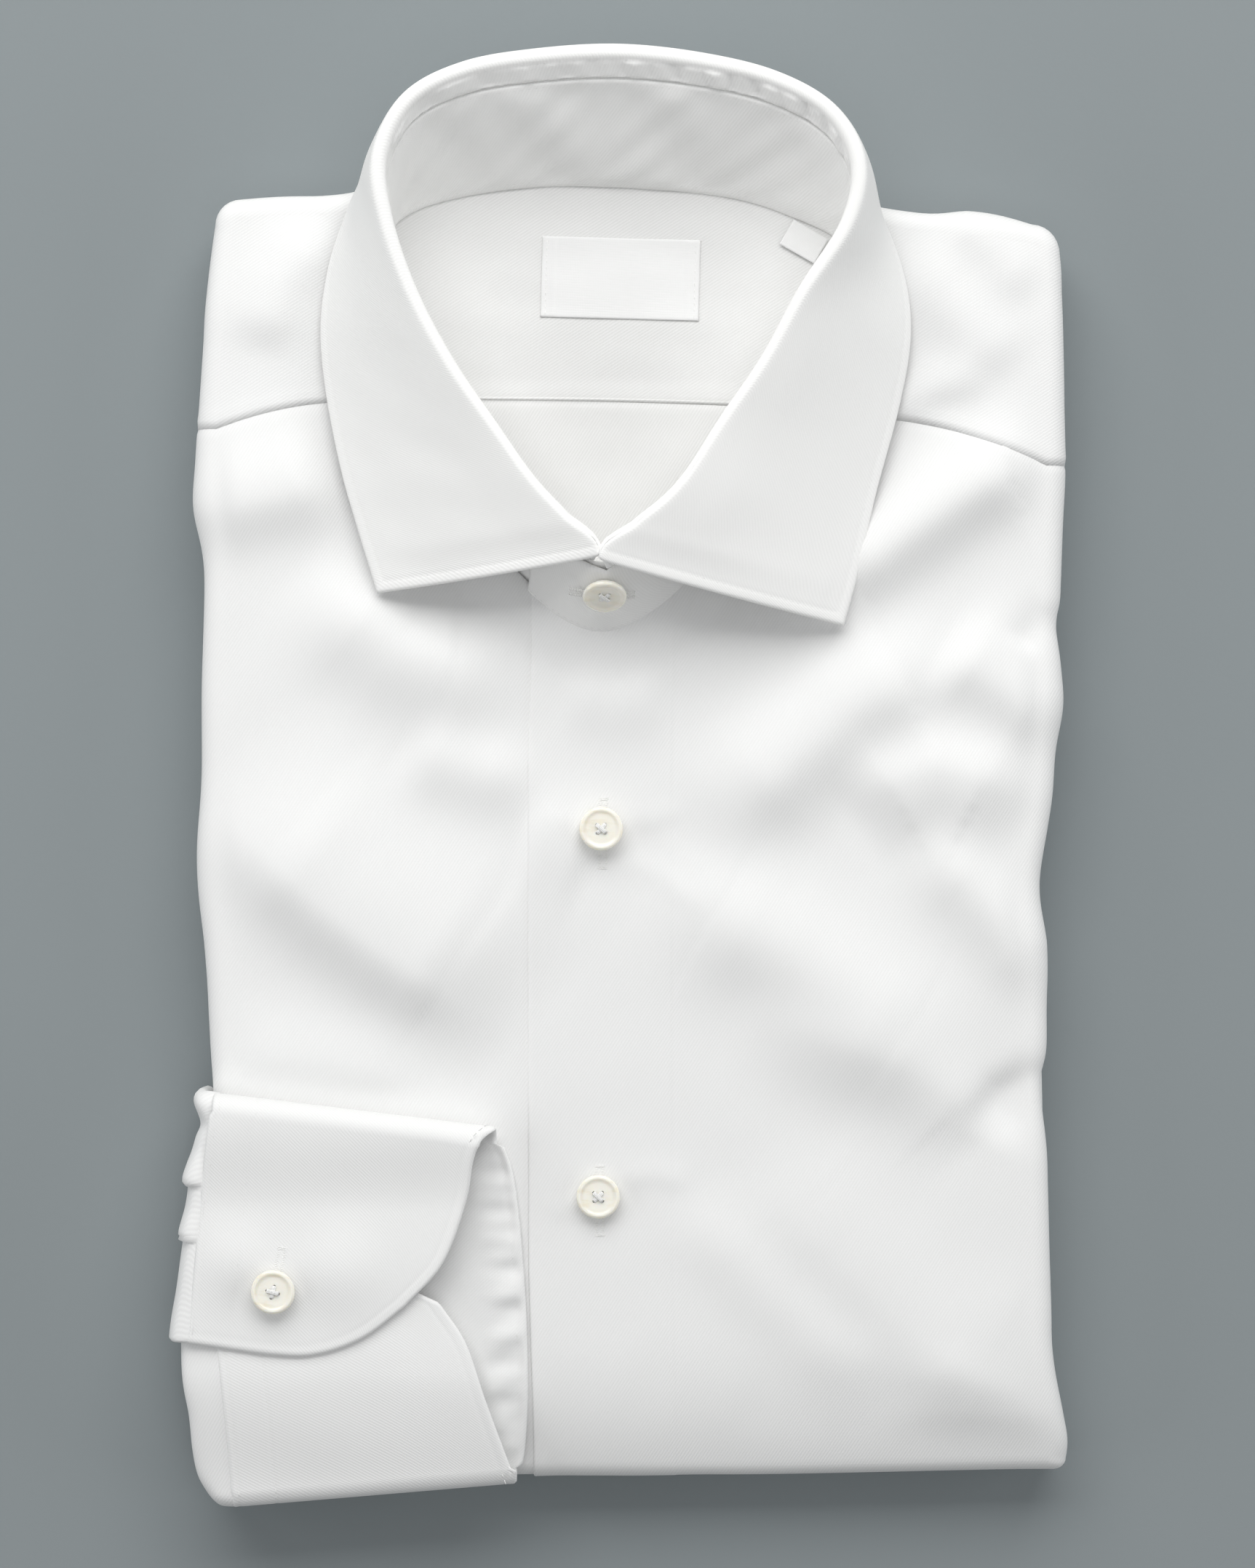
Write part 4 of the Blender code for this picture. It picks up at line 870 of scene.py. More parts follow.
def make_front_left():
    bend = np.radians(np.linspace(-90, 90, 7))[:-1]
    start = PLACKET_ROUND * (1 - np.cos(bend))
    facing_end = FACING + np.linspace(-0.6, 2.6, 9)
    steps = np.concatenate([start, np.linspace(PLACKET_ROUND, FACING - 1.0, 22), facing_end])
    shares = np.linspace(0, 1, 66)[1:]

    def columns_x(y):
        stepped = placket_x(y[:, :1]) + steps[None]
        return np.hstack([stepped, blend(stepped[:, -1:], right_edge(y[:, -1:]) - EDGE_RADIUS, shares[None])])

    ring = neck_ring(1.2, share_at(placket_x(66.0), True) + 0.012, -YOKE_START, 160)
    seam = curve(YOKE_SEAM_RIGHT, 60) + (0, SEAM_LAP)
    top_y = top_line(ring, seam[seam[:, 0] > ring[-1, 0] + 0.5])
    x, y = front_places(columns_x, top_y, FRONT_ROWS)
    lift = placket_lift(x, y)
    lift[:, : len(bend)] -= PLACKET_ROUND * (1 - np.sin(bend))
    return front_cloth("front_left", "right", x, y, lift)


YOKE_THICK = 0.8
YOKE_ROWS = 22
YOKE_CORNER = 2.0


def yoke_rim():
    """Inner line of the yoke's turned rim from left to right, with the way out at each point."""
    left_foot, right_foot = along(YOKE_SEAM_LEFT, -108.2), along(YOKE_SEAM_RIGHT, 108.9)
    top_left, top_right = TOP_FOLD[0][1] - EDGE_RADIUS, TOP_FOLD[-1][1] - EDGE_RADIUS
    y = np.linspace(left_foot, top_left - YOKE_CORNER, 24)
    left = np.column_stack([left_edge(y) + EDGE_RADIUS, y])
    x = np.linspace(left[-1, 0] + YOKE_CORNER, right_edge(top_right) - EDGE_RADIUS - YOKE_CORNER, 110)
    top = np.column_stack([x, along(TOP_FOLD, x) - EDGE_RADIUS])
    y = np.linspace(top_right - YOKE_CORNER, right_foot, 24)
    right = np.column_stack([right_edge(y) - EDGE_RADIUS, y])

    def round_off(start, end, corner):
        t = np.linspace(0, 1, 8)[1:-1, None]
        return (1 - t) ** 2 * start + 2 * t * (1 - t) * corner + t**2 * end

    corner_left = round_off(left[-1], top[0], np.array([left[-1, 0], top[0, 1]]))
    corner_right = round_off(top[-1], right[0], np.array([right[0, 0], top[-1, 1]]))
    line = np.vstack([left, corner_left, top, corner_right, right])
    fan = np.linspace(0, np.pi / 2, 8)[1:-1]
    ways = [np.tile((-1.0, 0.0), (len(left), 1)), np.column_stack([-np.cos(fan), np.sin(fan)])]
    ways += [np.tile((0.0, 1.0), (len(top), 1)), np.column_stack([np.sin(fan), np.cos(fan)])]
    ways += [np.tile((1.0, 0.0), (len(right), 1))]
    return line, np.vstack(ways)


def make_yoke():
    line, ways = yoke_rim()
    even = np.linspace(YOKE_START, 1 - YOKE_START, len(line))
    tried = np.linspace(YOKE_START, 1 - YOKE_START, 400)
    ring = neck_at(tried)
    nearest = np.array([tried[np.argmin(np.hypot(*(ring - point).T))] for point in line])
    share = blend(even, np.maximum.accumulate(nearest), 0.7)
    under_stand = ease((0.5 - YOKE_START - np.abs(share - 0.5)) / 0.08)
    neck = ring_at(1.2 + 1.3 * under_stand, share)

    def seam_side(seam, near, far):
        """The yoke's seam between its ends at the neck and at the rim."""
        seam, sign = curve(seam, 80), np.sign(far[0] - near[0])
        kept = seam[::-1] if sign < 0 else seam
        kept = kept[(kept[:, 0] - near[0]) * sign > 0.5]
        kept = kept[(far[0] - kept[:, 0]) * sign > 0.5]
        whole = np.vstack([near, kept, far])
        reached = travelled(whole)
        at = np.linspace(0, reached[-1], YOKE_ROWS)
        return np.column_stack([np.interp(at, reached, whole[:, k]) for k in (0, 1)])

    left, right = seam_side(YOKE_SEAM_LEFT, neck[0], line[0]), seam_side(YOKE_SEAM_RIGHT, neck[-1], line[-1])
    flat = coons(neck, line, left, right, 8)
    x, y = flat[..., 0], flat[..., 1]
    near_seam = np.clip(yoke_lap(x, y), 0, 9)
    z = front_height(x, y) + front_detail(x, y) + 0.16 * (1 - ease((near_seam - 1.0) / 4.0))
    inner = np.dstack([flat, z])
    turn = TURN_MOST * np.arange(1, TURN_STEPS + 1)[:, None] / TURN_STEPS
    radius = EDGE_RADIUS + (inner[-1, :, 2] - front_height(line[:, 0], line[:, 1]))[None]
    out = radius * np.sin(turn)
    rim_x, rim_y = (line[None, :, k] + ways[None, :, k] * out for k in (0, 1))
    rim = np.dstack([rim_x, rim_y, inner[-1, :, 2][None] - radius * (1 - np.cos(turn))])
    grid = np.concatenate([inner, rim])[::-1]
    along_seam = lengths(grid, 1)
    edge = np.minimum(along_seam, along_seam[:, -1:] - along_seam)
    half = edge_round(edge, 0.5, YOKE_THICK / 2)
    made = cloth_shell("yoke_cloth", laid_under(grid, YOKE_THICK), half, grid[..., 1::-1])
    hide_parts("yoke")
    return made


def tuck(share):
    """How far the lining reaches under the fronts: nothing at the back of the neck."""
    y = neck_at(share)[:, 1]
    return 3.0 * (1 - ease((y - 128) / 14))


def lining_height(x, y):
    """Top of the linings seen in the neck."""
    soft = 0.16 * ripple(x, y, 30.0, 11) + 0.1 * ripple(x * 0.6, y, 13.0, 12)
    return bed(x, y) - SEAM_GAP + soft * ease((from_neck(x, y) - 1.5) / 8)


def lining_grid(right_start, far_left, far_right, shift, rows, columns):
    """A lining from the inner yoke seam to the stretch of the neck seam between two shares."""
    left_share = np.linspace(YOKE_START, far_left, rows)
    right_share = np.linspace(right_start, far_right, rows)
    far_share = np.linspace(far_left, far_right, columns)
    left, right = ring_at(tuck(left_share), left_share), ring_at(tuck(right_share), right_share)
    seam_x = np.linspace(left[0, 0], right[0, 0], columns)
    seam = np.stack([seam_x, along(INNER_YOKE_SEAM, seam_x) + shift], axis=1)
    left[0], right[0] = seam[0], seam[-1]
    return coons(seam, ring_at(tuck(far_share), far_share), left, right)


LINING_THICK = 0.6


def make_linings():
    flat = lining_grid(1 - YOKE_START, 0.335, 0.68, -0.3, 60, 100)[::-1]
    x, y = flat[..., 0], flat[..., 1]
    near_seam = y - along(INNER_YOKE_SEAM, x)
    outer = np.dstack([flat, lining_height(x, y) + 0.2 * (1 - ease((near_seam - 1.0) / 4.0))])
    down = lengths(outer, 0)
    half = edge_round(down[-1:] - down, 0.4, LINING_THICK / 2)
    middle = laid_under(outer, LINING_THICK)
    # The inner yoke wears the darker copy of the twill, painted shade.
    inner_yoke = cloth_shell("yoke_inside_cloth", middle, half, flat[..., ::-1], "lining")
    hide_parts("yoke_lining")
    flat = lining_grid(-YOKE_START, 0.055, -0.055, 1.6, 60, 100)
    x, y = flat[..., 0], flat[..., 1]
    under = 0.3 * ease((y - along(INNER_YOKE_SEAM, x) + 1.2) / 1.4)
    outer = np.dstack([flat, lining_height(x, y) - under])
    # The back's inside wears the darker copy of the twill, painted shade.
    back = cloth_shell("back_inside_cloth", laid_under(outer, LINING_THICK), LINING_THICK / 2, flat, "lining")
    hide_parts("back")
    return inner_yoke, back


def overlap(share):
    """How far the stand has stepped out, from 0 to 1, where its over end laps the under end."""
    return ease((share - 0.86) / 0.1)


def neck_frame(share):
    """Foot, top and outward direction of the collar stand at shares of the neck seam."""
    share = np.asarray(share, float)
    foot = neck_at(share)
    foot = np.column_stack([foot, bed(foot[:, 0], foot[:, 1]) + STAND_BASE])
    top = curve_at(ROLL_LINE, np.where(share > 1, share - 1, np.where(share < 0, share + 1, share)))
    up = unit(top - foot)
    out = unit(np.cross(up, np.column_stack([neck_way(share), np.zeros(len(share))])))
    step = overlap(share)[:, None]
    shift = out * (OVERLAP_STEP * step)
    return foot + shift + up * (OVERLAP_RISE * step), top + shift, up, out


def stand_top_share(share):
    """How high the stand reaches: rounded off at its over end and its under end."""
    over = np.sqrt(1 - (np.clip(share - 0.982, 0, 1) / 0.09) ** 2)
    under = np.sqrt(1 - (np.clip(-share, 0, 1) / 0.07) ** 2)
    return STAND_SHARE * over * under


def sample(grid, row, column):
    """Values of a grid between its points."""
    row = np.clip(row, 0, grid.shape[0] - 1.001)
    column = np.clip(column, 0, grid.shape[1] - 1.001)
    r, c = row.astype(int), column.astype(int)
    a, b = (row - r)[:, None], (column - c)[:, None]
    near = blend(grid[r, c], grid[r, c + 1], b)
    return blend(near, blend(grid[r + 1, c], grid[r + 1, c + 1], b), a)


def row_line(surface, normals, row, first=0.0, last=1.0):
    """A line of points and normals along one row of a grid, between two shares of its columns."""
    column = np.linspace(first, last, 500) * (surface.shape[1] - 1)
    place = np.full(len(column), float(row))
    return sample(surface, place, column), sample(normals, place, column)


STAND_HALF = 0.7
STAND_RISE = np.concatenate([[-0.05, -0.02, 0.01, 0.04], np.linspace(0.07, 0.94, 19), [0.965, 0.985, 1.0]])
STAND_STITCH, STAND_TOP_STITCH = 2.2, 1.6


def make_collar_stand():
    ends = np.linspace(0, STAND_END, 22)[1:]
    share = np.concatenate([-ends[::-1], np.linspace(0, 1, 260), 1 + ends])
    foot, top, up_way, out_way = neck_frame(share)
    reach = stand_top_share(share)[:, None]
    near_ends = (overlap(share) + 0.5 * overlap(1 - share))[:, None]
    sewn = near_ends * (0.5 * out_way - 1.9 * up_way)
    grid = np.stack([foot + (top - foot) * reach * t + sewn * (1 - ease(t / 0.14)) for t in STAND_RISE])
    up, around = lengths(grid, 0), lengths(grid, 1)
    normals = grid_normals(grid)
    middle_of_back = bump_at(share - 0.5, 0.3)[None]
    soft = 0.3 * ripple(around, up * 0.7, 36.0, 21) + 0.16 * ripple(around, up * 0.5, 15.0, 22)
    creases = 0.85 * ripple(around + 0.6 * up, up * 0.25, 19.0, 23, 4)
    creases = creases + 0.4 * ripple(around - 0.9 * up, up * 0.3, 9.5, 24, 4)
    calm = ease(up / 5) * ease((up[-1:] - up) / 5)
    grid = grid + normals * ((soft + creases * middle_of_back) * calm)[..., None]
    edge = np.minimum(np.minimum(up, up[-1:] - up), np.minimum(around, around[:, -1:] - around))
    half = np.maximum(edge_round(edge, 1.0, STAND_HALF) - 0.2 * bump_at(up - STAND_STITCH, 0.5), 0.05)
    # The stand wears the lighter copy of the twill, painted light.
    made = cloth_shell("collar_stand_cloth", grid, half, np.dstack([around, up]), "fused")
    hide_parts("collar_stand")
    inside, outside = grid - normals * half[..., None], grid + normals * half[..., None]
    climb = up[:, 150]
    low, high = np.interp((STAND_STITCH, climb[-1] - STAND_TOP_STITCH), climb, np.arange(len(climb)))
    lines = ((inside, -normals, low, 0.16, 0.84), (inside, -normals, high, 0.1, 0.9))
    lines += ((outside, normals, low, 0.0, 0.14), (outside, normals, low, 0.86, 1.0))
    runs = [stitch_run(*row_line(*line)) for line in lines]
    return made, stitching("collar_stand_stitches", runs)


FALL_HALF = 0.62
LEAVES_MEET = -7.8
NECK_MIDDLE = (-7.8, 90.0)
# Near its two ends the roll is pulled in, shifted towards the hem and made thinner, with a gap between them
ROLL_PULL, ROLL_PULL_PLACE, ROLL_PULL_RUN = (1.9, 3.3), 0.036, 0.034
ROLL_END_RUN, ROLL_END_SHIFT, ROLL_END_THIN, LEAF_GAP = 0.03, (1.5, 0.3), 0.12, 0.3
EDGE_PAD = 0.05
EDGE_STITCH = 3.0
FALL_ROWS = np.concatenate(
    [np.linspace(0, 2, 13), np.linspace(2, 5, 15)[1:], np.linspace(5, 9, 30)[1:], np.linspace(9, 10, 20)[1:]]
)
FALL_ENDS = np.linspace(0, 0.014, 14)
FALL_SEAM_ROW = 11


def fall_grid(share):
    """The fall: up from the stand, over the roll and down to its free edge."""
    foot, roll, up, _ = neck_frame(share)
    seat = foot + (roll - foot) * STAND_SHARE + up * SEAM_GAP * 1.5
    from_end = np.minimum(share, 1 - share)[:, None]
    end = 1 - ease(from_end / ROLL_END_RUN)
    inward = unit(NECK_MIDDLE - roll[:, :2])
    first = share[:, None] < 0.5
    roll[:, :2] += inward * np.where(first, *ROLL_PULL) * bump_at(from_end - ROLL_PULL_PLACE, ROLL_PULL_RUN)
    roll[:, 1:2] -= np.where(first, *ROLL_END_SHIFT) * end
    meet = np.where(first, LEAVES_MEET - LEAF_GAP, LEAVES_MEET + LEAF_GAP)
    roll[:, :1] += (meet - roll[:, :1]) * end
    edge = curve_at(LEAF_EDGE, share)
    radius = ROLL_RADIUS * (1 - ROLL_END_THIN * end)
    after, before = (curve_at(ROLL_LINE, np.clip(share + step, 0, 1)) for step in (0.01, -0.01))
    ahead = unit(after - before)
    rise, leaf = square_to(up, ahead), square_to(edge - roll, ahead)
    side = square_to(leaf, rise)
    turn = np.arccos(np.clip(np.sum(leaf * rise, axis=1), -1, 1))[:, None]
    rows = [seat, (seat + roll) / 2, roll]
    for part in (0.34, 0.67, 1.0):
        angle = turn * part
        rows.append(roll + radius * (side * (1 - np.cos(angle)) + rise * np.sin(angle)))
    last = rows[-1]
    belly = -side * np.cos(turn) + rise * np.sin(turn)
    for part in (0.2, 0.42, 0.64, 0.84, 1.0):
        rows.append(blend(last, edge, part) + belly * LEAF_BELLY * 4 * part * (1 - part))
    return spline_rows(np.stack(rows), FALL_ROWS)


def inset_line(surface, normals, inset, first_row):
    """A line inside a grid's free edges: down its first column, along its last row, up its last column."""
    rows, columns = surface.shape[:2]
    down, over = lengths(surface, 0), lengths(surface, 1)
    from_foot, from_end = down[-1:] - down, over[:, -1:] - over
    places = []
    side_rows = [r for r in range(first_row, rows) if from_foot[r, 3] > inset]
    places += [(r, np.interp(inset, over[r], np.arange(columns))) for r in side_rows]
    for c in range(columns):
        if over[-4, c] > inset and from_end[-4, c] > inset:
            places.append((np.interp(-inset, -from_foot[:, c], np.arange(rows)), c))
    places += [(r, np.interp(-inset, -from_end[r], np.arange(columns))) for r in side_rows[::-1]]
    row, column = np.array(places, float).T
    return sample(surface, row, column), sample(normals, row, column)


def make_collar_fall():
    middle = np.linspace(FALL_ENDS[-1], 1 - FALL_ENDS[-1], 250)
    share = np.concatenate([FALL_ENDS[:-1], middle, 1 - FALL_ENDS[-2::-1]])
    grid = fall_grid(share)
    normals = grid_normals(grid)
    down, over = lengths(grid, 0), lengths(grid, 1)
    from_foot = down[-1:] - down
    from_sides = np.minimum(over, over[:, -1:] - over)
    edge = np.minimum(from_foot, from_sides)
    row = FALL_ROWS[:, None]
    gather = ease(row / 0.35) * ease((1.9 - row) / 0.35) * ease((from_sides - 30) / 30)
    pucker = 0.8 * ripple(over, down * 0.15, 4.6, 31, 5) * gather
    leaf = ease((row - 5.2) / 1.2) * ease((from_foot - 3.6) / 6)
    soft = (0.2 * ripple(over, down, 48.0, 33) + 0.07 * ripple(over, down, 19.0, 34)) * leaf
    grid = grid + normals * (pucker + soft)[..., None]
    pad = FALL_HALF + EDGE_PAD * (1 - ease((edge - 2.1) / 0.8)) * (row > 2)
    half = edge_round(edge, 1.1, pad)
    edge_groove = 0.07 * bump_at(edge - EDGE_STITCH, 0.6) * ease(row - 2)
    seam_groove = 0.18 * bump_at(down - down[FALL_SEAM_ROW], 0.6)
    half = np.maximum(half - edge_groove - seam_groove, 0.05)
    # The fall wears the lighter copy of the twill, painted light.
    made = cloth_shell("collar_fall_cloth", grid, half, np.dstack([over, down]), "fused", normals=normals)
    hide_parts("collar_fall")
    shown = grid - normals * half[..., None]
    runs = [
        stitch_run(*inset_line(shown, -normals, EDGE_STITCH, 20)),
        stitch_run(*row_line(shown, -normals, FALL_SEAM_ROW, 0.04, 0.96)),
    ]
    return made, stitching("collar_fall_stitches", runs)


def cuff_bed(y):
    """The cuff is stiffer than the fronts, so it follows the hem's fall less."""
    return PILE - 5.0 * ease((-138.0 - y) / 36.0)


def from_y(rows, start, end, count):
    """Points of a curve between two heights y."""
    y = np.linspace(start, end, count)
    return np.column_stack([along(rows, y, 1, 0), y])


def from_outline(x, y, line):
    """Distance from a drawn outline, in plan."""
    nearest = np.full(np.shape(x), 1e9)
    for (x0, y0), (x1, y1) in zip(line, line[1:]):
        nearest = np.minimum(nearest, from_line(x, y, x0, y0, x1, y1)[0])
    return nearest


CUFF_COLUMNS = 130
CUFF_HALF = 0.62
# Stitch lines: from the free edges, and two from the sleeve's seam
CUFF_STITCH = 2.7
SEAM_STITCHES = (1.9, 11.5)
FOLD_ROWS = 11
WRIST_CUT = 4.2


def wrist_corner(count):
    """How much of the wrist's corner is cut back at the top fold, from the seam to the wrist."""
    return ease((np.linspace(0, 1, count) - 0.8) / 0.2)


def cuff_layers():
    """The cuff's three layers as flat grids from the seam to the wrist."""
    over_top = np.linspace(CUFF_OVER_SEAM[0], CUFF_OVER_WRIST[0], CUFF_COLUMNS)
    foot = np.linspace(CUFF_UNDER_SEAM[0], CUFF_UNDER_WRIST[0], CUFF_COLUMNS)
    near_top, near_foot = over_top - (0, TOP_TURN), foot + (0, FOOT_TURN)
    over_near = near_top - np.column_stack([WRIST_CUT * wrist_corner(CUFF_COLUMNS), np.zeros(CUFF_COLUMNS)])
    seam = from_y(CUFF_OVER_SEAM, near_top[0, 1], -130.3, 70)
    wrist = from_y(CUFF_OVER_WRIST, over_near[-1, 1], -120.8, 70)
    hem = curve(CUFF_OVER_FOOT, CUFF_COLUMNS)
    seam[0], wrist[0], seam[-1], wrist[-1] = over_near[0], over_near[-1], hem[0], hem[-1]
    over = coons(over_near, hem, seam, wrist)
    back_seam = np.linspace(near_top[0], near_foot[0], 90)
    back_wrist = from_y(CUFF_BACK_WRIST, near_top[-1, 1], near_foot[-1, 1], 90)
    back_wrist[0], back_wrist[-1] = near_top[-1], near_foot[-1]
    back = coons(near_top, near_foot, back_seam, back_wrist)
    head = curve(CUFF_UNDER_HEAD, CUFF_COLUMNS)
    under_seam = from_y(CUFF_UNDER_SEAM, near_foot[0, 1], -115.0, 60)
    under_wrist = from_y(CUFF_UNDER_WRIST, near_foot[-1, 1], -119.8, 60)
    under_seam[0], under_wrist[0] = near_foot[0], near_foot[-1]
    under_seam[-1], under_wrist[-1] = head[0], head[-1]
    under = coons(near_foot, head, under_seam, under_wrist)
    return over, back, under


# Swells each side of the cuff's button. Columns: height, middle x, y, width
CUFF_SWELLS = ((1.5, -101.0, -109.0, 9.0), (1.4, -76.0, -112.0, 11.0))


def over_relief(x, y):
    """The over layer drops from its fold, and swells again by the button."""
    drop = 2.8 * (1 - ease((-72.0 - y) / 24.0))
    swell = 0.5 * bump_at(y + 114.0, 12.0) * ease((x + 116) / 12)
    for height, middle_x, middle_y, width in CUFF_SWELLS:
        swell = swell + height * bump_at(np.hypot(x - middle_x, y - middle_y), width)
    return drop + swell + 0.16 * ripple(x, y, 26.0, 41) - 0.4


def under_relief(x, y):
    return 0.5 * bump_at(y + 152.0, 15.0) + 0.2 * ripple(x, y, 30.0, 42)


def back_relief(x, y):
    """Puckers of the cuff's inside along its wrist edge."""
    inward = along(CUFF_BACK_WRIST, y, 1, 0) - x
    near = ease(inward / 2.5) * (1 - ease((inward - 5) / 9))
    pucker = 0.8 * ripple(y + 0.3 * inward, inward * 0.2, 8.0, 43, 5) + 0.2 * ripple(y, 0 * y, 3.6, 44, 4)
    return near * pucker + 0.12 * ripple(x, y, 22.0, 45)


def cuff_fold_rows(near, radius, above, below, count, cut=0.0):
    """Rows of points round a fold, with the way out at each row."""
    middle, half = (above + below) / 2, (above - below) / 2
    rows, ways = [], []
    for angle in np.linspace(0, np.pi, count + 2)[1:-1]:
        back = cut * ease(2 * angle / np.pi - 1) * wrist_corner(len(near))
        row = near + np.column_stack([-back, np.full(len(near), radius * np.sin(angle))])
        rows.append(np.column_stack([row, cuff_bed(row[:, 1]) + middle + half * np.cos(angle)]))
        ways.append((0.0, np.sin(angle) * np.sign(radius), np.cos(angle) * np.sign(half)))
    return np.stack(rows), ways


# How the cuff's stitch lines draw its cloth in, the edge's first. Columns: depth, width
CUFF_GROOVES = ((0.07, 0.6), (0.1, 0.5), (0.08, 0.5))


def make_cuff():
    """The cuff: one strip from its under end round the foot fold, back, and top fold to its over end."""
    over, back, under = cuff_layers()

    def laid(flat, height, relief):
        x, y = flat[..., 0], flat[..., 1]
        return np.dstack([flat, cuff_bed(y) + height + relief(x, y)])

    top_lift = over_relief(over[:1, :, 0], over[:1, :, 1])[0]
    foot_rows, foot_ways = cuff_fold_rows(under[0], -FOOT_TURN, CUFF_UNDER, CUFF_BACK, FOLD_ROWS)
    top_rows, top_ways = cuff_fold_rows(back[0], TOP_TURN, CUFF_BACK, CUFF_OVER, FOLD_ROWS, WRIST_CUT)
    share = (1 - np.cos(np.linspace(0, np.pi, FOLD_ROWS + 2)[1:-1])) / 2
    top_rows[..., 2] += share[:, None] * top_lift[None]
    back_face = laid(back[::-1], CUFF_BACK, lambda x, y: -back_relief(x, y))
    parts = (laid(under[::-1], CUFF_UNDER, under_relief), foot_rows, back_face, top_rows)
    grid = np.concatenate([*parts, laid(over, CUFF_OVER, over_relief)])
    up, down = (0, 0, 1.0), (0, 0, -1.0)
    ways = [up] * len(under) + foot_ways + [down] * len(back) + top_ways + [up] * len(over)
    normals = np.broadcast_to(np.array(ways)[:, None], grid.shape)
    across = lengths(grid, 1)
    edge = across[:, -1:] - across
    over_line = np.vstack([curve(CUFF_OVER_WRIST, 40), curve(CUFF_OVER_FOOT, 60)[-2::-1]])
    under_line = curve(CUFF_UNDER_WRIST, 40)
    under_rows, over_rows = slice(0, len(under)), slice(len(grid) - len(over), None)
    for rows, line in ((under_rows, under_line), (over_rows, over_line)):
        edge[rows] = from_outline(grid[rows, :, 0], grid[rows, :, 1], line)
    edge[under_rows] = np.minimum(edge[under_rows], lengths(grid[under_rows], 0))
    half = edge_round(edge, 0.9, CUFF_HALF + 0.04 * (1 - ease((edge - 1.9) / 0.8)))
    stitch_lines = (edge - CUFF_STITCH, *(across - at for at in SEAM_STITCHES))
    for away, (depth, width) in zip(stitch_lines, CUFF_GROOVES):
        half = half - depth * bump_at(away, width)
    half = np.maximum(np.minimum(half, edge_round(across, 0.5, 1.0)), 0.05)
    made = cloth_shell("cuff_right_cloth", grid, half, np.dstack([lengths(grid, 0), across]), normals=normals)
    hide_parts("cuff_right")
    outside, inside = grid + normals * half[..., None], grid - normals * half[..., None]
    runs = []

    def strip_run(face, ways_here, first, last, reached):
        """Stitches along the strip, where each of its rows has run a length."""
        place = np.arange(first, last, dtype=float)
        columns = np.arange(CUFF_COLUMNS)
        column = np.array([np.interp(reached(row), row, columns) for row in across[first:last]])
        runs.append(stitch_run(sample(face, place, column), sample(ways_here, place, column)))

    def edge_run(line, height, relief, start, end):
        """Stitches along a rounded end, inside its outline."""
        way = unit(np.gradient(line, axis=0))
        inner = line + np.column_stack([way[:, 1], -way[:, 0]]) * CUFF_STITCH
        inner = inner[(inner[:, 0] > start) & (inner[:, 0] < end)]
        x, y = inner[:, 0], inner[:, 1]
        z = cuff_bed(y) + height + relief(x, y) + CUFF_HALF - 0.15
        runs.append(stitch_run(np.column_stack([inner, z]), np.tile(up, (len(inner), 1))))

    strip_run(outside, normals, 2, len(grid) - 2, lambda row: SEAM_STITCHES[0])
    strip_run(outside, normals, 2, len(grid) - 7, lambda row: SEAM_STITCHES[1])
    edge_run(over_line, CUFF_OVER, over_relief, -103.0, 0.0)
    edge_run(under_line[::-1], CUFF_UNDER, under_relief, -200.0, 0.0)
    first_back = len(under) + FOLD_ROWS
    strip_run(inside, -normals, first_back, first_back + len(back), lambda row: row[-1] - CUFF_STITCH)
    return made, stitching("cuff_right_stitches", runs)


def sleeve_sections():
    """Sections of the sleeve along the cuff: y, seam x, height above the pile, how far out, on top or not."""
    over, back, under = cuff_layers()

    def layer(flat, start, end, count, height, out, on_top):
        seam = flat[np.argsort(flat[:, 0, 1]), 0]
        y = np.linspace(start, end, count)
        rest = np.broadcast_to((height, out, on_top), (count, 3))
        return np.column_stack([y, np.interp(y, seam[:, 1], seam[:, 0]), rest])

    def fold(y, radius, x, start, end, layers, on_top):
        angle = np.linspace(0, np.pi, FOLD_ROWS + 2)[1:-1]
        share = (1 - np.cos(angle)) / 2
        rest = [blend(start, end, share), blend(layers[0], layers[1], share), np.full(FOLD_ROWS, on_top)]
        return np.column_stack([y + radius * np.sin(angle), np.full(FOLD_ROWS, x), *rest])

    foot, top = under[0, 0, 1], over[0, 0, 1]
    return np.vstack(
        [
            layer(under, -115.4, foot, 60, CUFF_UNDER, 1.0, 0.0),
            fold(foot, -FOOT_TURN, under[0, 0, 0], CUFF_UNDER, CUFF_BACK, (1, 0), 0.0),
            layer(back, foot, top, 70, CUFF_BACK, 0.0, 0.0),
            fold(top, TOP_TURN, over[0, 0, 0], CUFF_BACK, CUFF_OVER, (0, 1), 1.0),
            layer(over, top, -130.1, 96, CUFF_OVER, 1.0, 1.0),
        ]
    )


# Pleats where the sleeve meets the cuff. Columns: y of the pleat's edge, length of its slope, height
PLEATS = ((-89.3, 10.0, 0.9), (-103.6, 9.0, 0.8))


def sleeve_relief(y, out):
    """Pleats that run from the cuff, fading along the sleeve, and a dent above them."""
    total = 0.12 * ripple(y, out, 15.0, 61)
    for edge, slope, height in PLEATS:
        past = y - edge
        ramp = ease((slope - past) / slope) * ease((past + 0.5) / 0.6)
        total = total + height * ramp * (1 - 0.6 * ease(out / 22))
    return total - 0.7 * bump_at(y + 74.0, 2.2) + 0.35 * bump_at(y + 67.0, 4.0)


SLEEVE_HALF = 0.5
SLEEVE_COLUMNS = 36


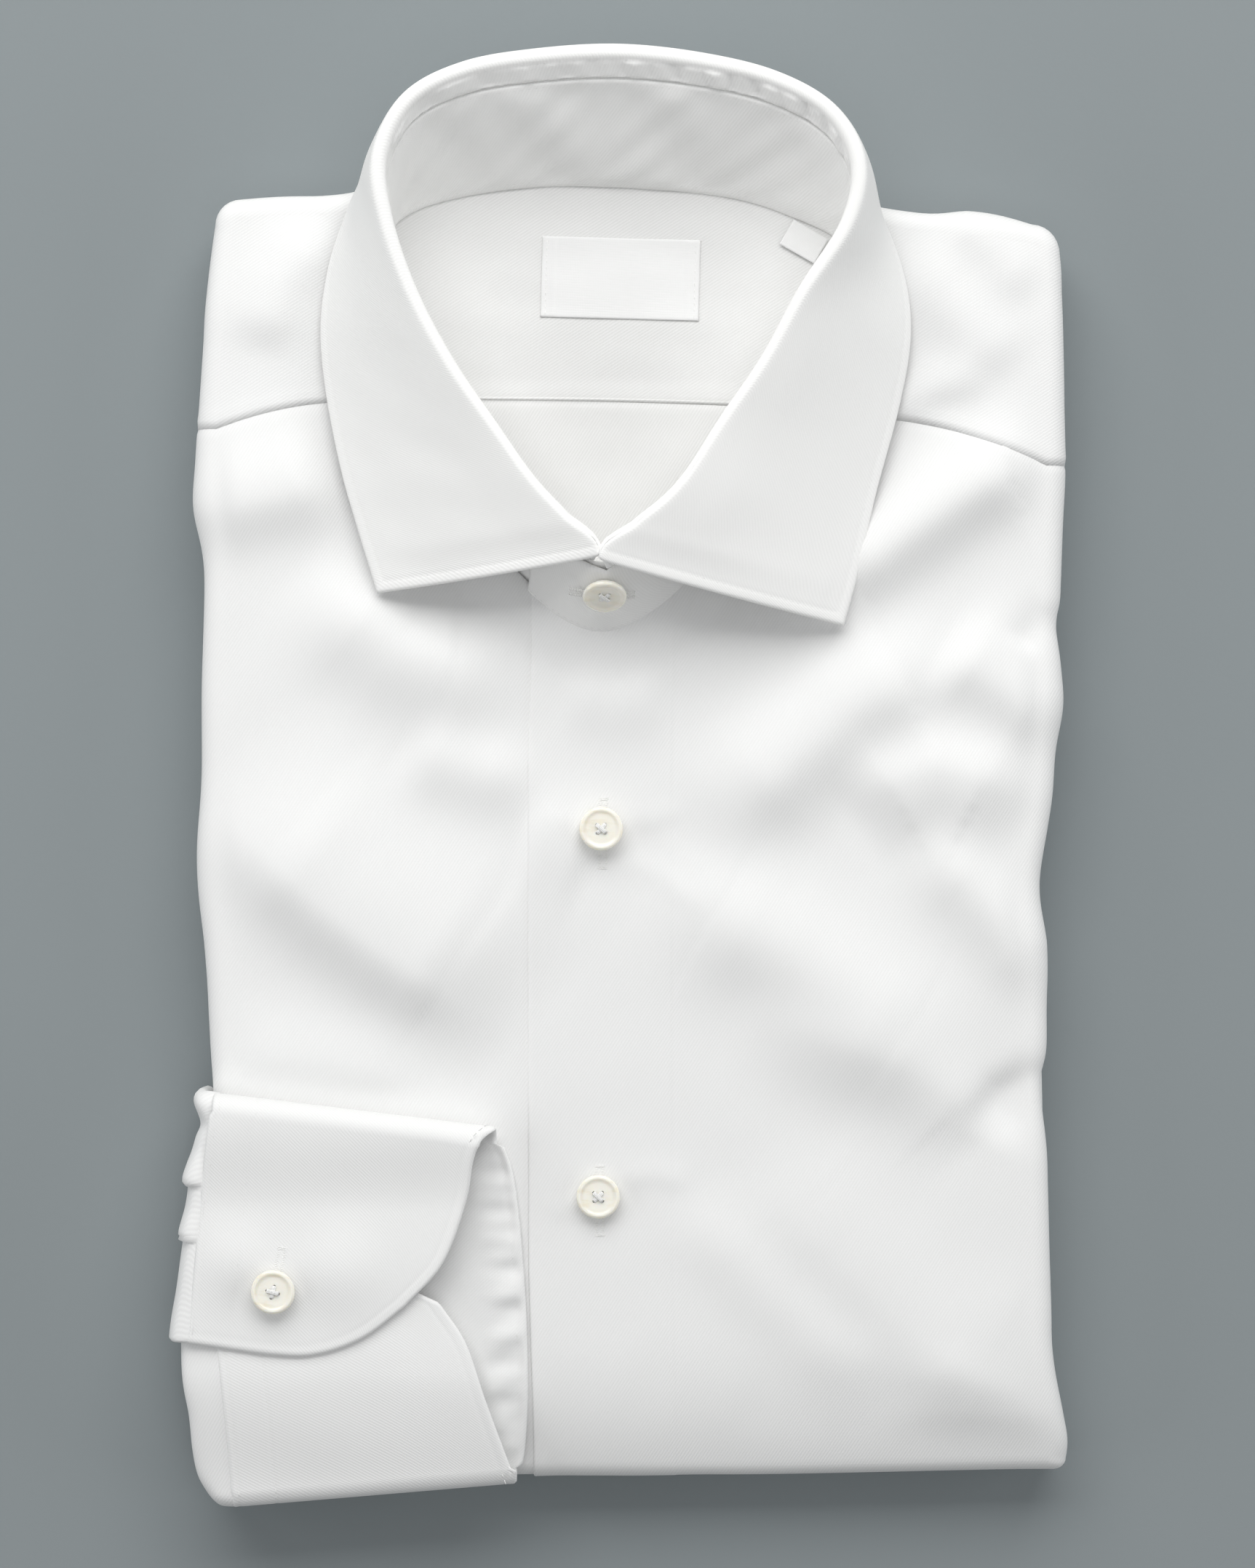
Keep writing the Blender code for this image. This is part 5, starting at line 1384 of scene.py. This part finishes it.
def make_sleeve():
    """The sleeve's stretch from the cuff over the body's edge and down its side."""
    y, seam_x, height, layer, on_top = sleeve_sections().T
    reach = np.where(on_top > 0, along(SLEEVE_OVER_REACH, y), along(SLEEVE_UNDER_REACH, y))
    edge = left_edge(y) + 5.0 * ease((-163 - y) / 10)
    drop = cuff_bed(y) - PILE
    lines = [np.column_stack([seam_x + 1.4, y, cuff_bed(y) + height - 0.1])]
    for inner, outer in zip(SLEEVE_INNER_WAY, SLEEVE_OUTER_WAY):
        low_z, high_z = inner[1], outer[1] - 1.3 * (1 - on_top) * (outer[1] > 25)
        z = blend(low_z, high_z, layer)
        x = blend(edge + inner[0], reach + outer[0], layer)
        lines.append(np.column_stack([x, y, z + drop * np.minimum(1, z / PILE)]))
    grid = spline_rows(np.stack(lines), np.linspace(0, len(lines) - 1, SLEEVE_COLUMNS))
    normals = grid_normals(grid)
    out = lengths(grid, 0)
    grid = grid + normals * (sleeve_relief(y[None], out) * on_top * ease(out / 3))[..., None]
    over = lengths(grid, 1)
    half = edge_round(np.minimum(over, over[:, -1:] - over), 0.6, SLEEVE_HALF)
    made = cloth_shell("sleeve_right_cloth", grid, half, np.dstack([out, over]), normals=normals)
    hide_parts("sleeve_right")
    return made


CORE_LIP = EDGE_RADIUS - CLOTH - 3 * SEAM_GAP
CORE_INSET = EDGE_RADIUS + 0.8
CORE_SINK = CLOTH + 10 * SEAM_GAP
PILE_LAYERS = 6
# Between two layers the pile reaches as far as the groove, and each layer's fold bulges beyond it
GROOVE_REACH, LAYER_BULGE = 1.9, 2.8
LAYER_WAVE, LAYER_WAVE_SIZE = 0.6, 95.0
LAYER_PLACES = (0.03, 0.1, 0.22, 0.4, 0.6, 0.78, 0.9, 0.97)


def core_rim():
    """The rim's inner line round the whole pile, and the direction outwards at each point."""
    y = np.linspace(TOP_FOLD[0][1] - CORE_INSET, HEM_FOLD[0][1] + CORE_INSET, 120)
    left = np.column_stack([left_edge(y) + CORE_INSET, y])[::-1]
    x = np.linspace(left[-1, 0], right_edge(156.0) - CORE_INSET, 84)
    top = np.column_stack([x, along(TOP_FOLD, x) - CORE_INSET])
    y = np.linspace(top[-1, 1], HEM_FOLD[-1][1] + CORE_INSET, 120)
    right = np.column_stack([right_edge(y) - CORE_INSET, y])
    x = np.linspace(right[-1, 0], left[0, 0], 84)
    foot = np.column_stack([x, along(HEM_FOLD, x) + CORE_INSET])
    spots, ways = [], []
    for number, side in enumerate((left, top, right, foot)):
        facing = np.pi - number * np.pi / 2
        fan = facing - np.linspace(0, np.pi / 2, 8)[1:-1]
        spots += [side, np.tile(side[-1], (len(fan), 1))]
        ways.append(np.tile((np.cos(facing), np.sin(facing)), (len(side), 1)))
        ways.append(np.column_stack([np.cos(fan), np.sin(fan)]))
    return np.vstack(spots), np.vstack(ways)


def make_hidden_layers():
    """The hidden layers: one closed body with its layers' folded edges all round."""
    base, way = core_rim()
    count = len(base)
    round_way = travelled(base)
    circle = round_way / (round_way[-1] + 4.0) * TURN
    around_x, around_y = np.cos(circle) * 180, np.sin(circle) * 180
    height = bed(base[:, 0], base[:, 1])
    rows = []
    for turn in np.radians(np.linspace(8, 150, 8)):
        z = height - EDGE_RADIUS + CORE_LIP * np.cos(turn)
        rows.append(np.column_stack([base + way * CORE_LIP * np.sin(turn), z]))
    under = height - 2 * EDGE_RADIUS
    for layer in range(PILE_LAYERS):
        for place in LAYER_PLACES:
            down = layer + place
            wave = LAYER_WAVE * ripple(around_x + 31 * down, around_y, LAYER_WAVE_SIZE, 71)
            full = (1 - abs(2 * place - 1) ** 2.6) ** 0.5
            reach = GROOVE_REACH + LAYER_BULGE * full
            reach = reach + 0.5 * ripple(around_x, around_y + 57 * layer, 60.0, 72) * full
            z = under * (1 - down / PILE_LAYERS) + wave * np.sin(np.pi * down / PILE_LAYERS)
            rows.append(np.column_stack([base + way * reach[:, None], z]))
    rows.append(np.column_stack([base + way * 1.6, 0 * under]))
    rows = rows[::-1]
    for scale in (0.985, 0.955, 0.91, 0.86, 0.7, 0.5, 0.25):
        flat = base * scale
        rows.append(np.column_stack([flat, bed(flat[:, 0], flat[:, 1]) - CORE_SINK]))
    points = np.vstack(rows + [[(0, 0, PILE - CORE_SINK)], [(0, 0, 0)]])
    ring = np.arange(count)
    after = np.roll(ring, -1)
    faces = []
    for row in range(len(rows) - 1):
        low, high = row * count, (row + 1) * count
        faces += [(low + b, low + a, high + a, high + b) for a, b in zip(ring, after)]
    last, crown, foot = (len(rows) - 1) * count, len(points) - 2, len(points) - 1
    faces += [(last + b, last + a, crown) for a, b in zip(ring, after)]
    faces += [(a, b, foot) for a, b in zip(ring, after)]
    weave = np.column_stack([np.append(np.tile(round_way, len(rows)), [0, 0]), points[:, 2]])
    weave[:, 1] += np.repeat(np.arange(len(rows) + 1), count)[: len(points)] * 0.6
    made = piece("hidden_layers_cloth", points, faces, "twill", weave)
    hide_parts("hidden_layers")
    return made


BUTTON_HOLE, BUTTON_HOLE_OUT = 0.46, 1.5
BUTTON_SIDES, HOLE_SIDES = 72, 20
BUTTON_SHARP = np.radians(38)
# Columns: distance from the middle, height over the button's own middle
BUTTON_SECTION = (
    (0.01, 0.72), (2.6, 0.75), (3.6, 0.8), (4.1, 0.88), (4.4, 1.02), (4.65, 1.15), (4.95, 1.2),
    (5.25, 1.13), (5.5, 0.94), (5.68, 0.62), (5.7, 0.3), (5.58, -0.1), (5.3, -0.55), (4.7, -0.95),
    (3.9, -1.16), (3.0, -1.2), (0.01, -1.2),
)


def facing_turn(axis, turn):
    """Rotation that stands a part's own up along an axis, turned about it."""
    return Vector(axis).to_track_quat("Z", "Y").to_matrix() @ Matrix.Rotation(np.radians(turn), 3, "Z")


def make_button(name, place, axis, turn):
    """A shell button with a raised rim and four holes."""
    angle = np.arange(BUTTON_SIDES) * TURN / BUTTON_SIDES
    round_way = np.column_stack([np.cos(angle), np.sin(angle)])
    rings = [np.column_stack([radius * round_way, np.full(BUTTON_SIDES, z)]) for radius, z in BUTTON_SECTION]
    after = np.roll(np.arange(BUTTON_SIDES), -1)
    faces = [tuple(range(BUTTON_SIDES))]
    for row in range(len(rings) - 1):
        low = row * BUTTON_SIDES
        high = low + BUTTON_SIDES
        faces += [(low + a, high + a, high + b, low + b) for a, b in enumerate(after)]
    faces.append(tuple(range(len(rings) * BUTTON_SIDES - 1, (len(rings) - 1) * BUTTON_SIDES - 1, -1)))
    body = bpy.data.meshes.new(name + "_body")
    body.from_pydata((np.vstack(rings) * MM).tolist(), [], faces)
    cutter = bmesh.new()
    radius, out = BUTTON_HOLE * MM, BUTTON_HOLE_OUT * MM
    for spot in np.radians((45, 135, 225, 315)):
        hole = bmesh.ops.create_cone(
            cutter, cap_ends=True, segments=HOLE_SIDES, radius1=radius, radius2=radius, depth=6 * MM
        )
        bmesh.ops.translate(cutter, verts=hole["verts"], vec=(out * np.cos(spot), out * np.sin(spot), 0))
    holes = bpy.data.meshes.new(name + "_holes")
    cutter.to_mesh(holes)
    cutter.free()
    solid, tool = (added(mesh.name, mesh) for mesh in (body, holes))
    cut = solid.modifiers.new("Holes", "BOOLEAN")
    cut.operation = "DIFFERENCE"
    cut.solver = "EXACT"
    cut.object = tool
    bpy.context.view_layer.update()
    mesh = bpy.data.meshes.new_from_object(solid.evaluated_get(bpy.context.evaluated_depsgraph_get()))
    for made in (solid, tool):
        bpy.data.objects.remove(made)
    spots = np.array([v.co for v in mesh.vertices]) / MM
    shapes = [tuple(face.vertices) for face in mesh.polygons]
    turned = spots @ np.array(facing_turn(axis, turn)).T + np.asarray(place, float)
    made = piece(name + "_shell", turned, shapes, "shell")
    made.data.set_sharp_from_angle(angle=BUTTON_SHARP)
    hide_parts(name)
    return made


CORD_SIDES = 8
THREAD_RADIUS, SHANK_RADIUS = 0.25, 0.9


def button_thread(name, place, axis, turn):
    """The cross of sewing thread over a button, its ends down the holes, and the shank under it."""
    points, faces, start = [], [], 0

    def cord(line, radius):
        nonlocal start
        line = np.asarray(line, float)
        way = unit(np.gradient(line, axis=0))
        side = unit(np.cross(way, (0.31, -0.77, 0.55)))
        up = np.cross(way, side)
        angle = (np.arange(CORD_SIDES) * TURN / CORD_SIDES)[None, :, None]
        rings = line[:, None] + radius * (np.cos(angle) * side[:, None] + np.sin(angle) * up[:, None])
        points.append(rings.reshape(-1, 3))
        for row in range(len(line) - 1):
            low = start + row * CORD_SIDES
            faces.extend(ring_faces(low, low + CORD_SIDES, CORD_SIDES))
        faces.append(tuple(start + k for k in reversed(range(CORD_SIDES))))
        start += len(line) * CORD_SIDES
        faces.append(tuple(range(start - CORD_SIDES, start)))

    t = np.linspace(-1, 1, 25)
    for strand in range(6):
        spot, shift = np.radians((45, 135)[strand // 3]), (-0.3, 0.0, 0.3)[strand % 3]
        c, s = np.cos(spot), np.sin(spot)
        reach = BUTTON_HOLE_OUT * np.sign(t) * np.minimum(1.0, np.abs(t) * 1.25) ** 0.9
        rise = 1.0 + 0.3 * (strand // 3) + 0.07 * (strand % 3 == 1)
        z = np.where(np.abs(t) < 0.8, rise - 0.35 * np.abs(t) ** 3, rise - 0.18 - (np.abs(t) - 0.8) * 9.0)
        cord(np.column_stack([c * reach - s * shift, s * reach + c * shift, z]), THREAD_RADIUS)
    cord([(0.0, 0.0, z) for z in np.linspace(-1.7, -0.9, 4)], SHANK_RADIUS)
    spots = np.vstack(points) @ np.array(facing_turn(axis, turn)).T + np.asarray(place, float)
    return piece(name + "_thread", spots, faces, "thread")


def front_top(x, y):
    """Upper face of the left front."""
    return front_height(x, y) + placket_lift(x, y) + front_detail(x, y)


def cuff_top(x, y):
    """Upper face of the cuff's over layer."""
    return cuff_bed(y) + CUFF_OVER + over_relief(x, y) + CUFF_HALF


def laid_line(start, end, height, count=60):
    """A straight line laid on a surface, with its normals."""
    t = np.linspace(0, 1, count)[:, None]
    flat = blend(np.array(start, float), np.array(end, float), t)
    points = np.column_stack([flat, height(flat[:, 0], flat[:, 1])])
    way = np.gradient(points, axis=0)
    across = np.column_stack([-way[:, 1], way[:, 0], np.zeros(count)])
    return points, unit(np.cross(way, across))


def buttonhole_runs(start, end, height, width=3.1):
    """A worked buttonhole: a row of close stitches down each side of the slit, and a bar across each end."""
    start, end = np.array(start, float), np.array(end, float)
    way = unit(end - start)
    side = np.array([-way[1], way[0]])
    bar = width / 2 - 0.22
    runs = []
    for sign in (-1, 1):
        shift = side * sign * (bar - 0.48)
        line = laid_line(start + shift + way * 0.9, end + shift - way * 0.9, height)
        runs.append(stitch_run(*line, pitch=0.46, length=1.15, thick=0.4, sink=0.12, across=True))
    for place in (start, end):
        inward = way if place is start else -way
        line = laid_line(place + inward * 0.1 - side * 0.02, place + inward * 1.0, height, 12)
        runs.append(stitch_run(*line, pitch=0.4, length=width, thick=0.42, sink=0.08, across=True))
    return runs


# Ends of the slits: from a front's button, and on the cuff
FRONT_SLIT = ((0.4, 8.2), (0.4, -10.8))
CUFF_SLIT = ((-89.9, -105.0), (-93.2, -121.6))


def make_buttonholes():
    made = []
    for number, button in enumerate((BUTTON_1, BUTTON_2), 1):
        runs = buttonhole_runs(*(np.add(button, end) for end in FRONT_SLIT), front_top)
        made.append(stitching(f"buttonhole_front_{number}", runs))
    made.append(stitching("buttonhole_cuff", buttonhole_runs(*CUFF_SLIT, cuff_top)))
    foot, _, up, out = (rows[0] for rows in neck_frame([1.0]))
    along_stand = np.cross(out, up)
    climb = (BUTTON_COLLAR_Y - foot[1] - out[1] * STAND_HALF) / up[1]
    middle = foot + up * climb + out * STAND_HALF
    runs = []
    for sign in (-1, 1):
        t = np.linspace(-8.0, 9.5, 40)[:, None]
        line = middle + along_stand * t + up * sign * 0.9 - out * 0.012 * t**2
        runs.append(stitch_run(line, np.tile(out, (40, 1)), 0.46, 1.1, 0.5, 0.02, across=True))
    made.append(stitching("buttonhole_collar", runs))
    return made


def seat(height, place):
    """Height of a button's middle when its foot lies just clear of the cloth under it."""
    angle = np.linspace(0, TURN, 24)
    x = place[0] + np.append(0, BUTTON_RADIUS * np.cos(angle))
    y = place[1] + np.append(0, BUTTON_RADIUS * np.sin(angle))
    return float(np.max(height(x, y))) + SEAM_GAP + BUTTON_THICK / 2


def button_seats():
    """Each button's name, middle, axis and turn."""
    for name, place, turn in (("button_front_1", BUTTON_1, 4), ("button_front_2", BUTTON_2, 2)):
        yield name, (*place, seat(front_top, place) + 0.35), (0.0, 0.0, 1.0), turn
    yield "button_cuff", (*BUTTON_CUFF, seat(cuff_top, BUTTON_CUFF) + 0.3), (0.0, 0.0, 1.0), 30
    foot, _, up, out = (rows[0] for rows in neck_frame([1.0]))
    lift = 0.8 + SEAM_GAP + BUTTON_THICK / 2
    climb = (BUTTON_COLLAR_Y - foot[1] - out[1] * lift) / up[1]
    yield "button_collar", tuple(foot + up * climb + out * lift), tuple(out), 0


def make_buttons():
    made = []
    for name, place, axis, turn in button_seats():
        made.append(make_button(name, place, axis, turn))
        made.append(button_thread(name, place, axis, turn))
    return made


TRIM_HALF = 0.11


def trim_surface(size, place, turn, columns, rows, lift):
    """A woven trim laid on the lining: its middle, and places on it."""
    wide, high = size
    across, down = np.meshgrid(np.linspace(-0.5, 0.5, columns) * wide, np.linspace(0.5, -0.5, rows) * high)
    c, s = np.cos(np.radians(turn)), np.sin(np.radians(turn))
    x, y = place[0] + c * across - s * down, place[1] + s * across + c * down
    return np.dstack([x, y, lining_height(x, y) + lift(across, down)]), np.dstack([across, down])


def make_label():
    """The neck label, left bare: its ends turned under and sewn down."""
    width, height = LABEL_SIZE

    def lift(across, down):
        ends = ease((width / 2 - np.abs(across)) / 2.4)
        lower = ease((height / 2 + down) / 3.0)
        return 0.12 + 0.12 * (1 - ends) + 0.1 * (1 - lower) + 0.07 * ripple(across, down, 21.0, 81)

    middle, place = trim_surface(LABEL_SIZE, LABEL_PLACE, LABEL_TURN, 90, 46, lift)
    edge = np.minimum(width / 2 - np.abs(place[..., 0]), height / 2 - np.abs(place[..., 1]))
    fold = 0.08 * (1 - ease((width / 2 - np.abs(place[..., 0]) - 3.2) / 0.8))
    half = edge_round(edge, 0.35, TRIM_HALF + fold)
    made = cloth_shell("neck_label_cloth", middle, half, place, "tape")
    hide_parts("neck_label")
    normals = grid_normals(middle)
    shown = middle + normals * half[..., None]
    runs = []
    for column in (2.7, 86.3):
        row = np.linspace(1.5, 43.5, 60)
        spot = np.full(60, column)
        runs.append(stitch_run(sample(shown, row, spot), sample(normals, row, spot), 1.7, 1.3, 0.28, 0.09))
    return made, stitching("neck_label_stitches", runs)


def make_size_tab():
    """The size tab, left bare: a folded tape that comes out of the neck seam."""

    def lift(across, down):
        return 0.4 + 0.5 * ease((TAB_SIZE[1] / 2 - down) / TAB_SIZE[1]) + 0.05 * ripple(across, down, 9.0, 83)

    middle, place = trim_surface(TAB_SIZE, TAB_PLACE, TAB_TURN, 36, 28, lift)
    edge = np.minimum(TAB_SIZE[0] / 2 - np.abs(place[..., 0]), TAB_SIZE[1] / 2 + place[..., 1])
    half = edge_round(edge, 0.3, TRIM_HALF + 0.08)
    made = cloth_shell("size_tab_cloth", middle, half, place, "tape")
    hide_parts("size_tab")
    return made


# Cuts of the cloths that show. For each: flat width and length in metres, area, how it is held,
# the cloths that it rests on, and the pieces sewn on it
CUTS = {
    "front_right": (0.140, 0.300, 0.0353, "folded", ("hidden_layers",), ()),
    "front_left": (
        0.158, 0.300, 0.0395, "folded", ("hidden_layers", "front_right"),
        ("buttonhole_front_1", "buttonhole_front_2"),
    ),
    "yoke": (0.236, 0.088, 0.0101, "folded", ("hidden_layers", "front_right", "front_left"), ()),
    "yoke_inside": (0.126, 0.060, 0.0067, "laid", ("hidden_layers", "back_inside"), ()),
    "back_inside": (0.109, 0.064, 0.0046, "laid", ("hidden_layers",), ()),
    "collar_stand": (
        0.424, 0.035, 0.0116, "folded", ("yoke_inside", "front_left"),
        ("collar_stand_stitches", "buttonhole_collar"),
    ),
    "collar_fall": (
        0.398, 0.075, 0.0193, "folded", ("collar_stand", "yoke", "front_right", "front_left"),
        ("collar_fall_stitches",),
    ),
    "sleeve_right": (0.247, 0.036, 0.0070, "folded", ("hidden_layers",), ()),
    "cuff_right": (
        0.243, 0.080, 0.0166, "folded", ("hidden_layers", "front_right"),
        ("cuff_right_stitches", "buttonhole_cuff"),
    ),
    "neck_label": (0.042, 0.0222, 0.0009, "laid", ("yoke_inside",), ("neck_label_stitches",)),
    "size_tab": (0.0105, 0.0100, 0.00008, "folded", ("yoke_inside",), ()),
}


def declare_cuts():
    """Goes through the cuts of the cloths and the cloths that each rests on; nothing is stated or kept from
    them.
    """
    for name, (width, length, area, held, under, sewn_on) in CUTS.items():
        rests_on = [f"{cloth}_cloth" for cloth in under]
        list(sewn_on)


COOL = (0.97, 0.985, 1.0)
# Lamps, in metres. Columns: name, place, aim, width, depth, colour
LAMPS = (
    ("key_light", (-0.05, 1.1, 1.02), (0, 0.02, 0), 1.9, 1.1, (1.0, 0.998, 0.99)),
    ("side_light_1", (-1.25, -0.1, 0.5), (0, 0, 0), 1.2, 0.7, COOL),
    ("side_light_3", (1.25, -0.1, 0.5), (0, 0, 0), 1.2, 0.7, COOL),
    ("fill_light", (0.0, -0.3, 1.7), (0, 0, 0), 1.4, 0.8, COOL),
)
SIDE_SHARE = 0.18
CAMERA_PLACE, CAMERA_LENS = (-0.67, 14.82, 1300.0), 112.1
FLOOR_REACH = 3.0


def make_stage():
    """A paper floor, a wide soft lamp beyond the shoulders, three weak ones, and a camera straight above."""
    chosen = settings()
    corners = [(x * FLOOR_REACH, y * FLOOR_REACH, 0) for x, y in ((-1, -1), (1, -1), (1, 1), (-1, 1))]
    mesh = bpy.data.meshes.new("studio_floor")
    mesh.from_pydata(corners, [], [(0, 1, 2, 3)])
    mesh.materials.append(finish_of("floor"))
    floor = added("studio_floor", mesh)
    floor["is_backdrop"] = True
    side_power = SIDE_SHARE * chosen.key_power
    powers = (chosen.key_power, side_power, side_power, chosen.fill_power)
    for (name, place, aim, width, depth, colour), power in zip(LAMPS, powers):
        light = bpy.data.lights.new(name, "AREA")
        light.shape, light.size, light.size_y = "RECTANGLE", width, depth
        light.energy, light.color = power, colour
        made = added(name, light)
        made.location = place
        made.rotation_euler = (Vector(aim) - Vector(place)).to_track_quat("-Z", "Y").to_euler()
    world = bpy.data.worlds.new("studio_air")
    world.use_nodes = True
    sky = world.node_tree.nodes["Background"]
    sky.inputs["Color"].default_value = (0.99, 0.995, 1.0, 1.0)
    sky.inputs["Strength"].default_value = chosen.sky_strength
    bpy.context.scene.world = world
    bpy.context.scene.view_settings.view_transform = "Standard"
    camera = bpy.data.cameras.new("studio_camera")
    camera.sensor_width, camera.lens = 36.0, CAMERA_LENS
    camera.clip_start, camera.clip_end = 0.05, 20.0
    made = added("studio_camera", camera)
    made.location = [MM * value for value in CAMERA_PLACE]
    bpy.context.scene.camera = made


def colour_setting(name, description, default):
    return bpy.props.FloatVectorProperty(
        name=name, description=description, subtype="COLOR", size=3, min=0.0, max=1.0, default=default
    )


class ShirtSettings(bpy.types.PropertyGroup):
    cloth_colour: colour_setting("Cloth", "Twill on the raised wales", (0.88, 0.88, 0.873))
    valley_colour: colour_setting("Cloth, low", "Twill between its wales", (0.83, 0.83, 0.823))
    lining_colour: colour_setting("Cloth inside", "Reverse of the twill, in the neck", (0.74, 0.74, 0.73))
    fused_colour: colour_setting("Cloth, fused", "Doubled twill of collar and band", (0.94, 0.938, 0.926))
    thread_colour: colour_setting("Thread", "Sewing thread", (0.9, 0.9, 0.885))
    shell_colour: colour_setting("Shell, pale", "Pale bands of the buttons", (0.93, 0.905, 0.82))
    shell_warm: colour_setting("Shell, warm", "Warm bands of the buttons", (0.88, 0.83, 0.7))
    tape_colour: colour_setting("Tape", "Neck label and size tab", (0.84, 0.84, 0.84))
    floor_colour: colour_setting("Floor", "Studio paper", (0.272, 0.302, 0.312))
    key_power: bpy.props.FloatProperty(
        name="Key light", description="Lamp beyond the shoulders", unit="POWER", min=0.0, default=23
    )
    fill_power: bpy.props.FloatProperty(
        name="Fill light", description="Power of the wide lamp above", unit="POWER", min=0.0, default=4
    )
    sky_strength: bpy.props.FloatProperty(
        name="Sky", description="Strength of the even light all round", min=0.0, default=0.2
    )


def made_all(*pieces):
    """Ends an operator: an empty piece means that it couldn't be made."""
    for made in pieces:
        if made is None or not made.data.polygons:
            raise RuntimeError("a piece came out empty")
    return {"FINISHED"}


class SHIRT_OT_hidden_layers(bpy.types.Operator):
    """Adds the folded layers under the fronts"""

    bl_idname = "shirt.hidden_layers"
    bl_label = "Hidden layers"

    def execute(self, context):
        return made_all(make_hidden_layers())


class SHIRT_OT_fronts(bpy.types.Operator):
    """Adds the right front and the left front that laps over it"""

    bl_idname = "shirt.fronts"
    bl_label = "Fronts"

    def execute(self, context):
        return made_all(make_front_right(), make_front_left())


class SHIRT_OT_yoke(bpy.types.Operator):
    """Adds the outer yoke"""

    bl_idname = "shirt.yoke"
    bl_label = "Yoke"

    def execute(self, context):
        return made_all(make_yoke())


class SHIRT_OT_neck_inside(bpy.types.Operator):
    """Adds the inner yoke and the inside of the back, seen in the neck"""

    bl_idname = "shirt.neck_inside"
    bl_label = "Inside of the neck"

    def execute(self, context):
        return made_all(*make_linings())


class SHIRT_OT_collar(bpy.types.Operator):
    """Adds the collar stand and fall with their stitching"""

    bl_idname = "shirt.collar"
    bl_label = "Collar"

    def execute(self, context):
        return made_all(*make_collar_stand(), *make_collar_fall())


class SHIRT_OT_sleeve(bpy.types.Operator):
    """Adds the showing stretch of the right sleeve"""

    bl_idname = "shirt.sleeve"
    bl_label = "Sleeve"

    def execute(self, context):
        return made_all(make_sleeve())


class SHIRT_OT_cuff(bpy.types.Operator):
    """Adds the right cuff with its stitching"""

    bl_idname = "shirt.cuff"
    bl_label = "Cuff"

    def execute(self, context):
        return made_all(*make_cuff())


class SHIRT_OT_buttonholes(bpy.types.Operator):
    """Adds the worked buttonholes"""

    bl_idname = "shirt.buttonholes"
    bl_label = "Buttonholes"

    def execute(self, context):
        return made_all(*make_buttonholes())


class SHIRT_OT_buttons(bpy.types.Operator):
    """Adds the shell buttons and the thread that holds them"""

    bl_idname = "shirt.buttons"
    bl_label = "Buttons"

    def execute(self, context):
        return made_all(*make_buttons())


class SHIRT_OT_label(bpy.types.Operator):
    """Adds the bare neck label and the bare size tab"""

    bl_idname = "shirt.label"
    bl_label = "Label and size tab"

    def execute(self, context):
        return made_all(*make_label(), make_size_tab())


class SHIRT_OT_stage(bpy.types.Operator):
    """Adds the floor, the lamps and the camera, and goes through the cuts of the cloth"""

    bl_idname = "shirt.stage"
    bl_label = "Stage"

    def execute(self, context):
        declare_cuts()
        make_stage()
        return {"FINISHED"}


OPERATORS = (
    SHIRT_OT_hidden_layers,
    SHIRT_OT_fronts,
    SHIRT_OT_yoke,
    SHIRT_OT_neck_inside,
    SHIRT_OT_collar,
    SHIRT_OT_sleeve,
    SHIRT_OT_cuff,
    SHIRT_OT_buttonholes,
    SHIRT_OT_buttons,
    SHIRT_OT_label,
    SHIRT_OT_stage,
)


class SHIRT_PT_panel(bpy.types.Panel):
    """Lists the shirt's pieces and settings"""

    bl_label = "Folded dress shirt"
    bl_idname = "SHIRT_PT_panel"
    bl_space_type = "VIEW_3D"
    bl_region_type = "UI"
    bl_category = "Shirt"

    def draw(self, context):
        for kind in OPERATORS:
            self.layout.operator(kind.bl_idname)
        for name in ShirtSettings.__annotations__:
            self.layout.prop(context.scene.folded_shirt, name)


CLASSES = (ShirtSettings, *OPERATORS, SHIRT_PT_panel)


def register():
    for kind in CLASSES:
        bpy.utils.register_class(kind)
    bpy.types.Scene.folded_shirt = bpy.props.PointerProperty(type=ShirtSettings)


def unregister():
    del bpy.types.Scene.folded_shirt
    for kind in reversed(CLASSES):
        bpy.utils.unregister_class(kind)


def main():
    register()
    for kind in OPERATORS:
        group, name = kind.bl_idname.split(".")
        getattr(getattr(bpy.ops, group), name)()
    boxes = {"solids": SOLID_BOX, "shown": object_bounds()}
    plain = {key: [[float(v) for v in corner] for corner in box] for key, box in boxes.items()}


if __name__ == "__main__":
    main()
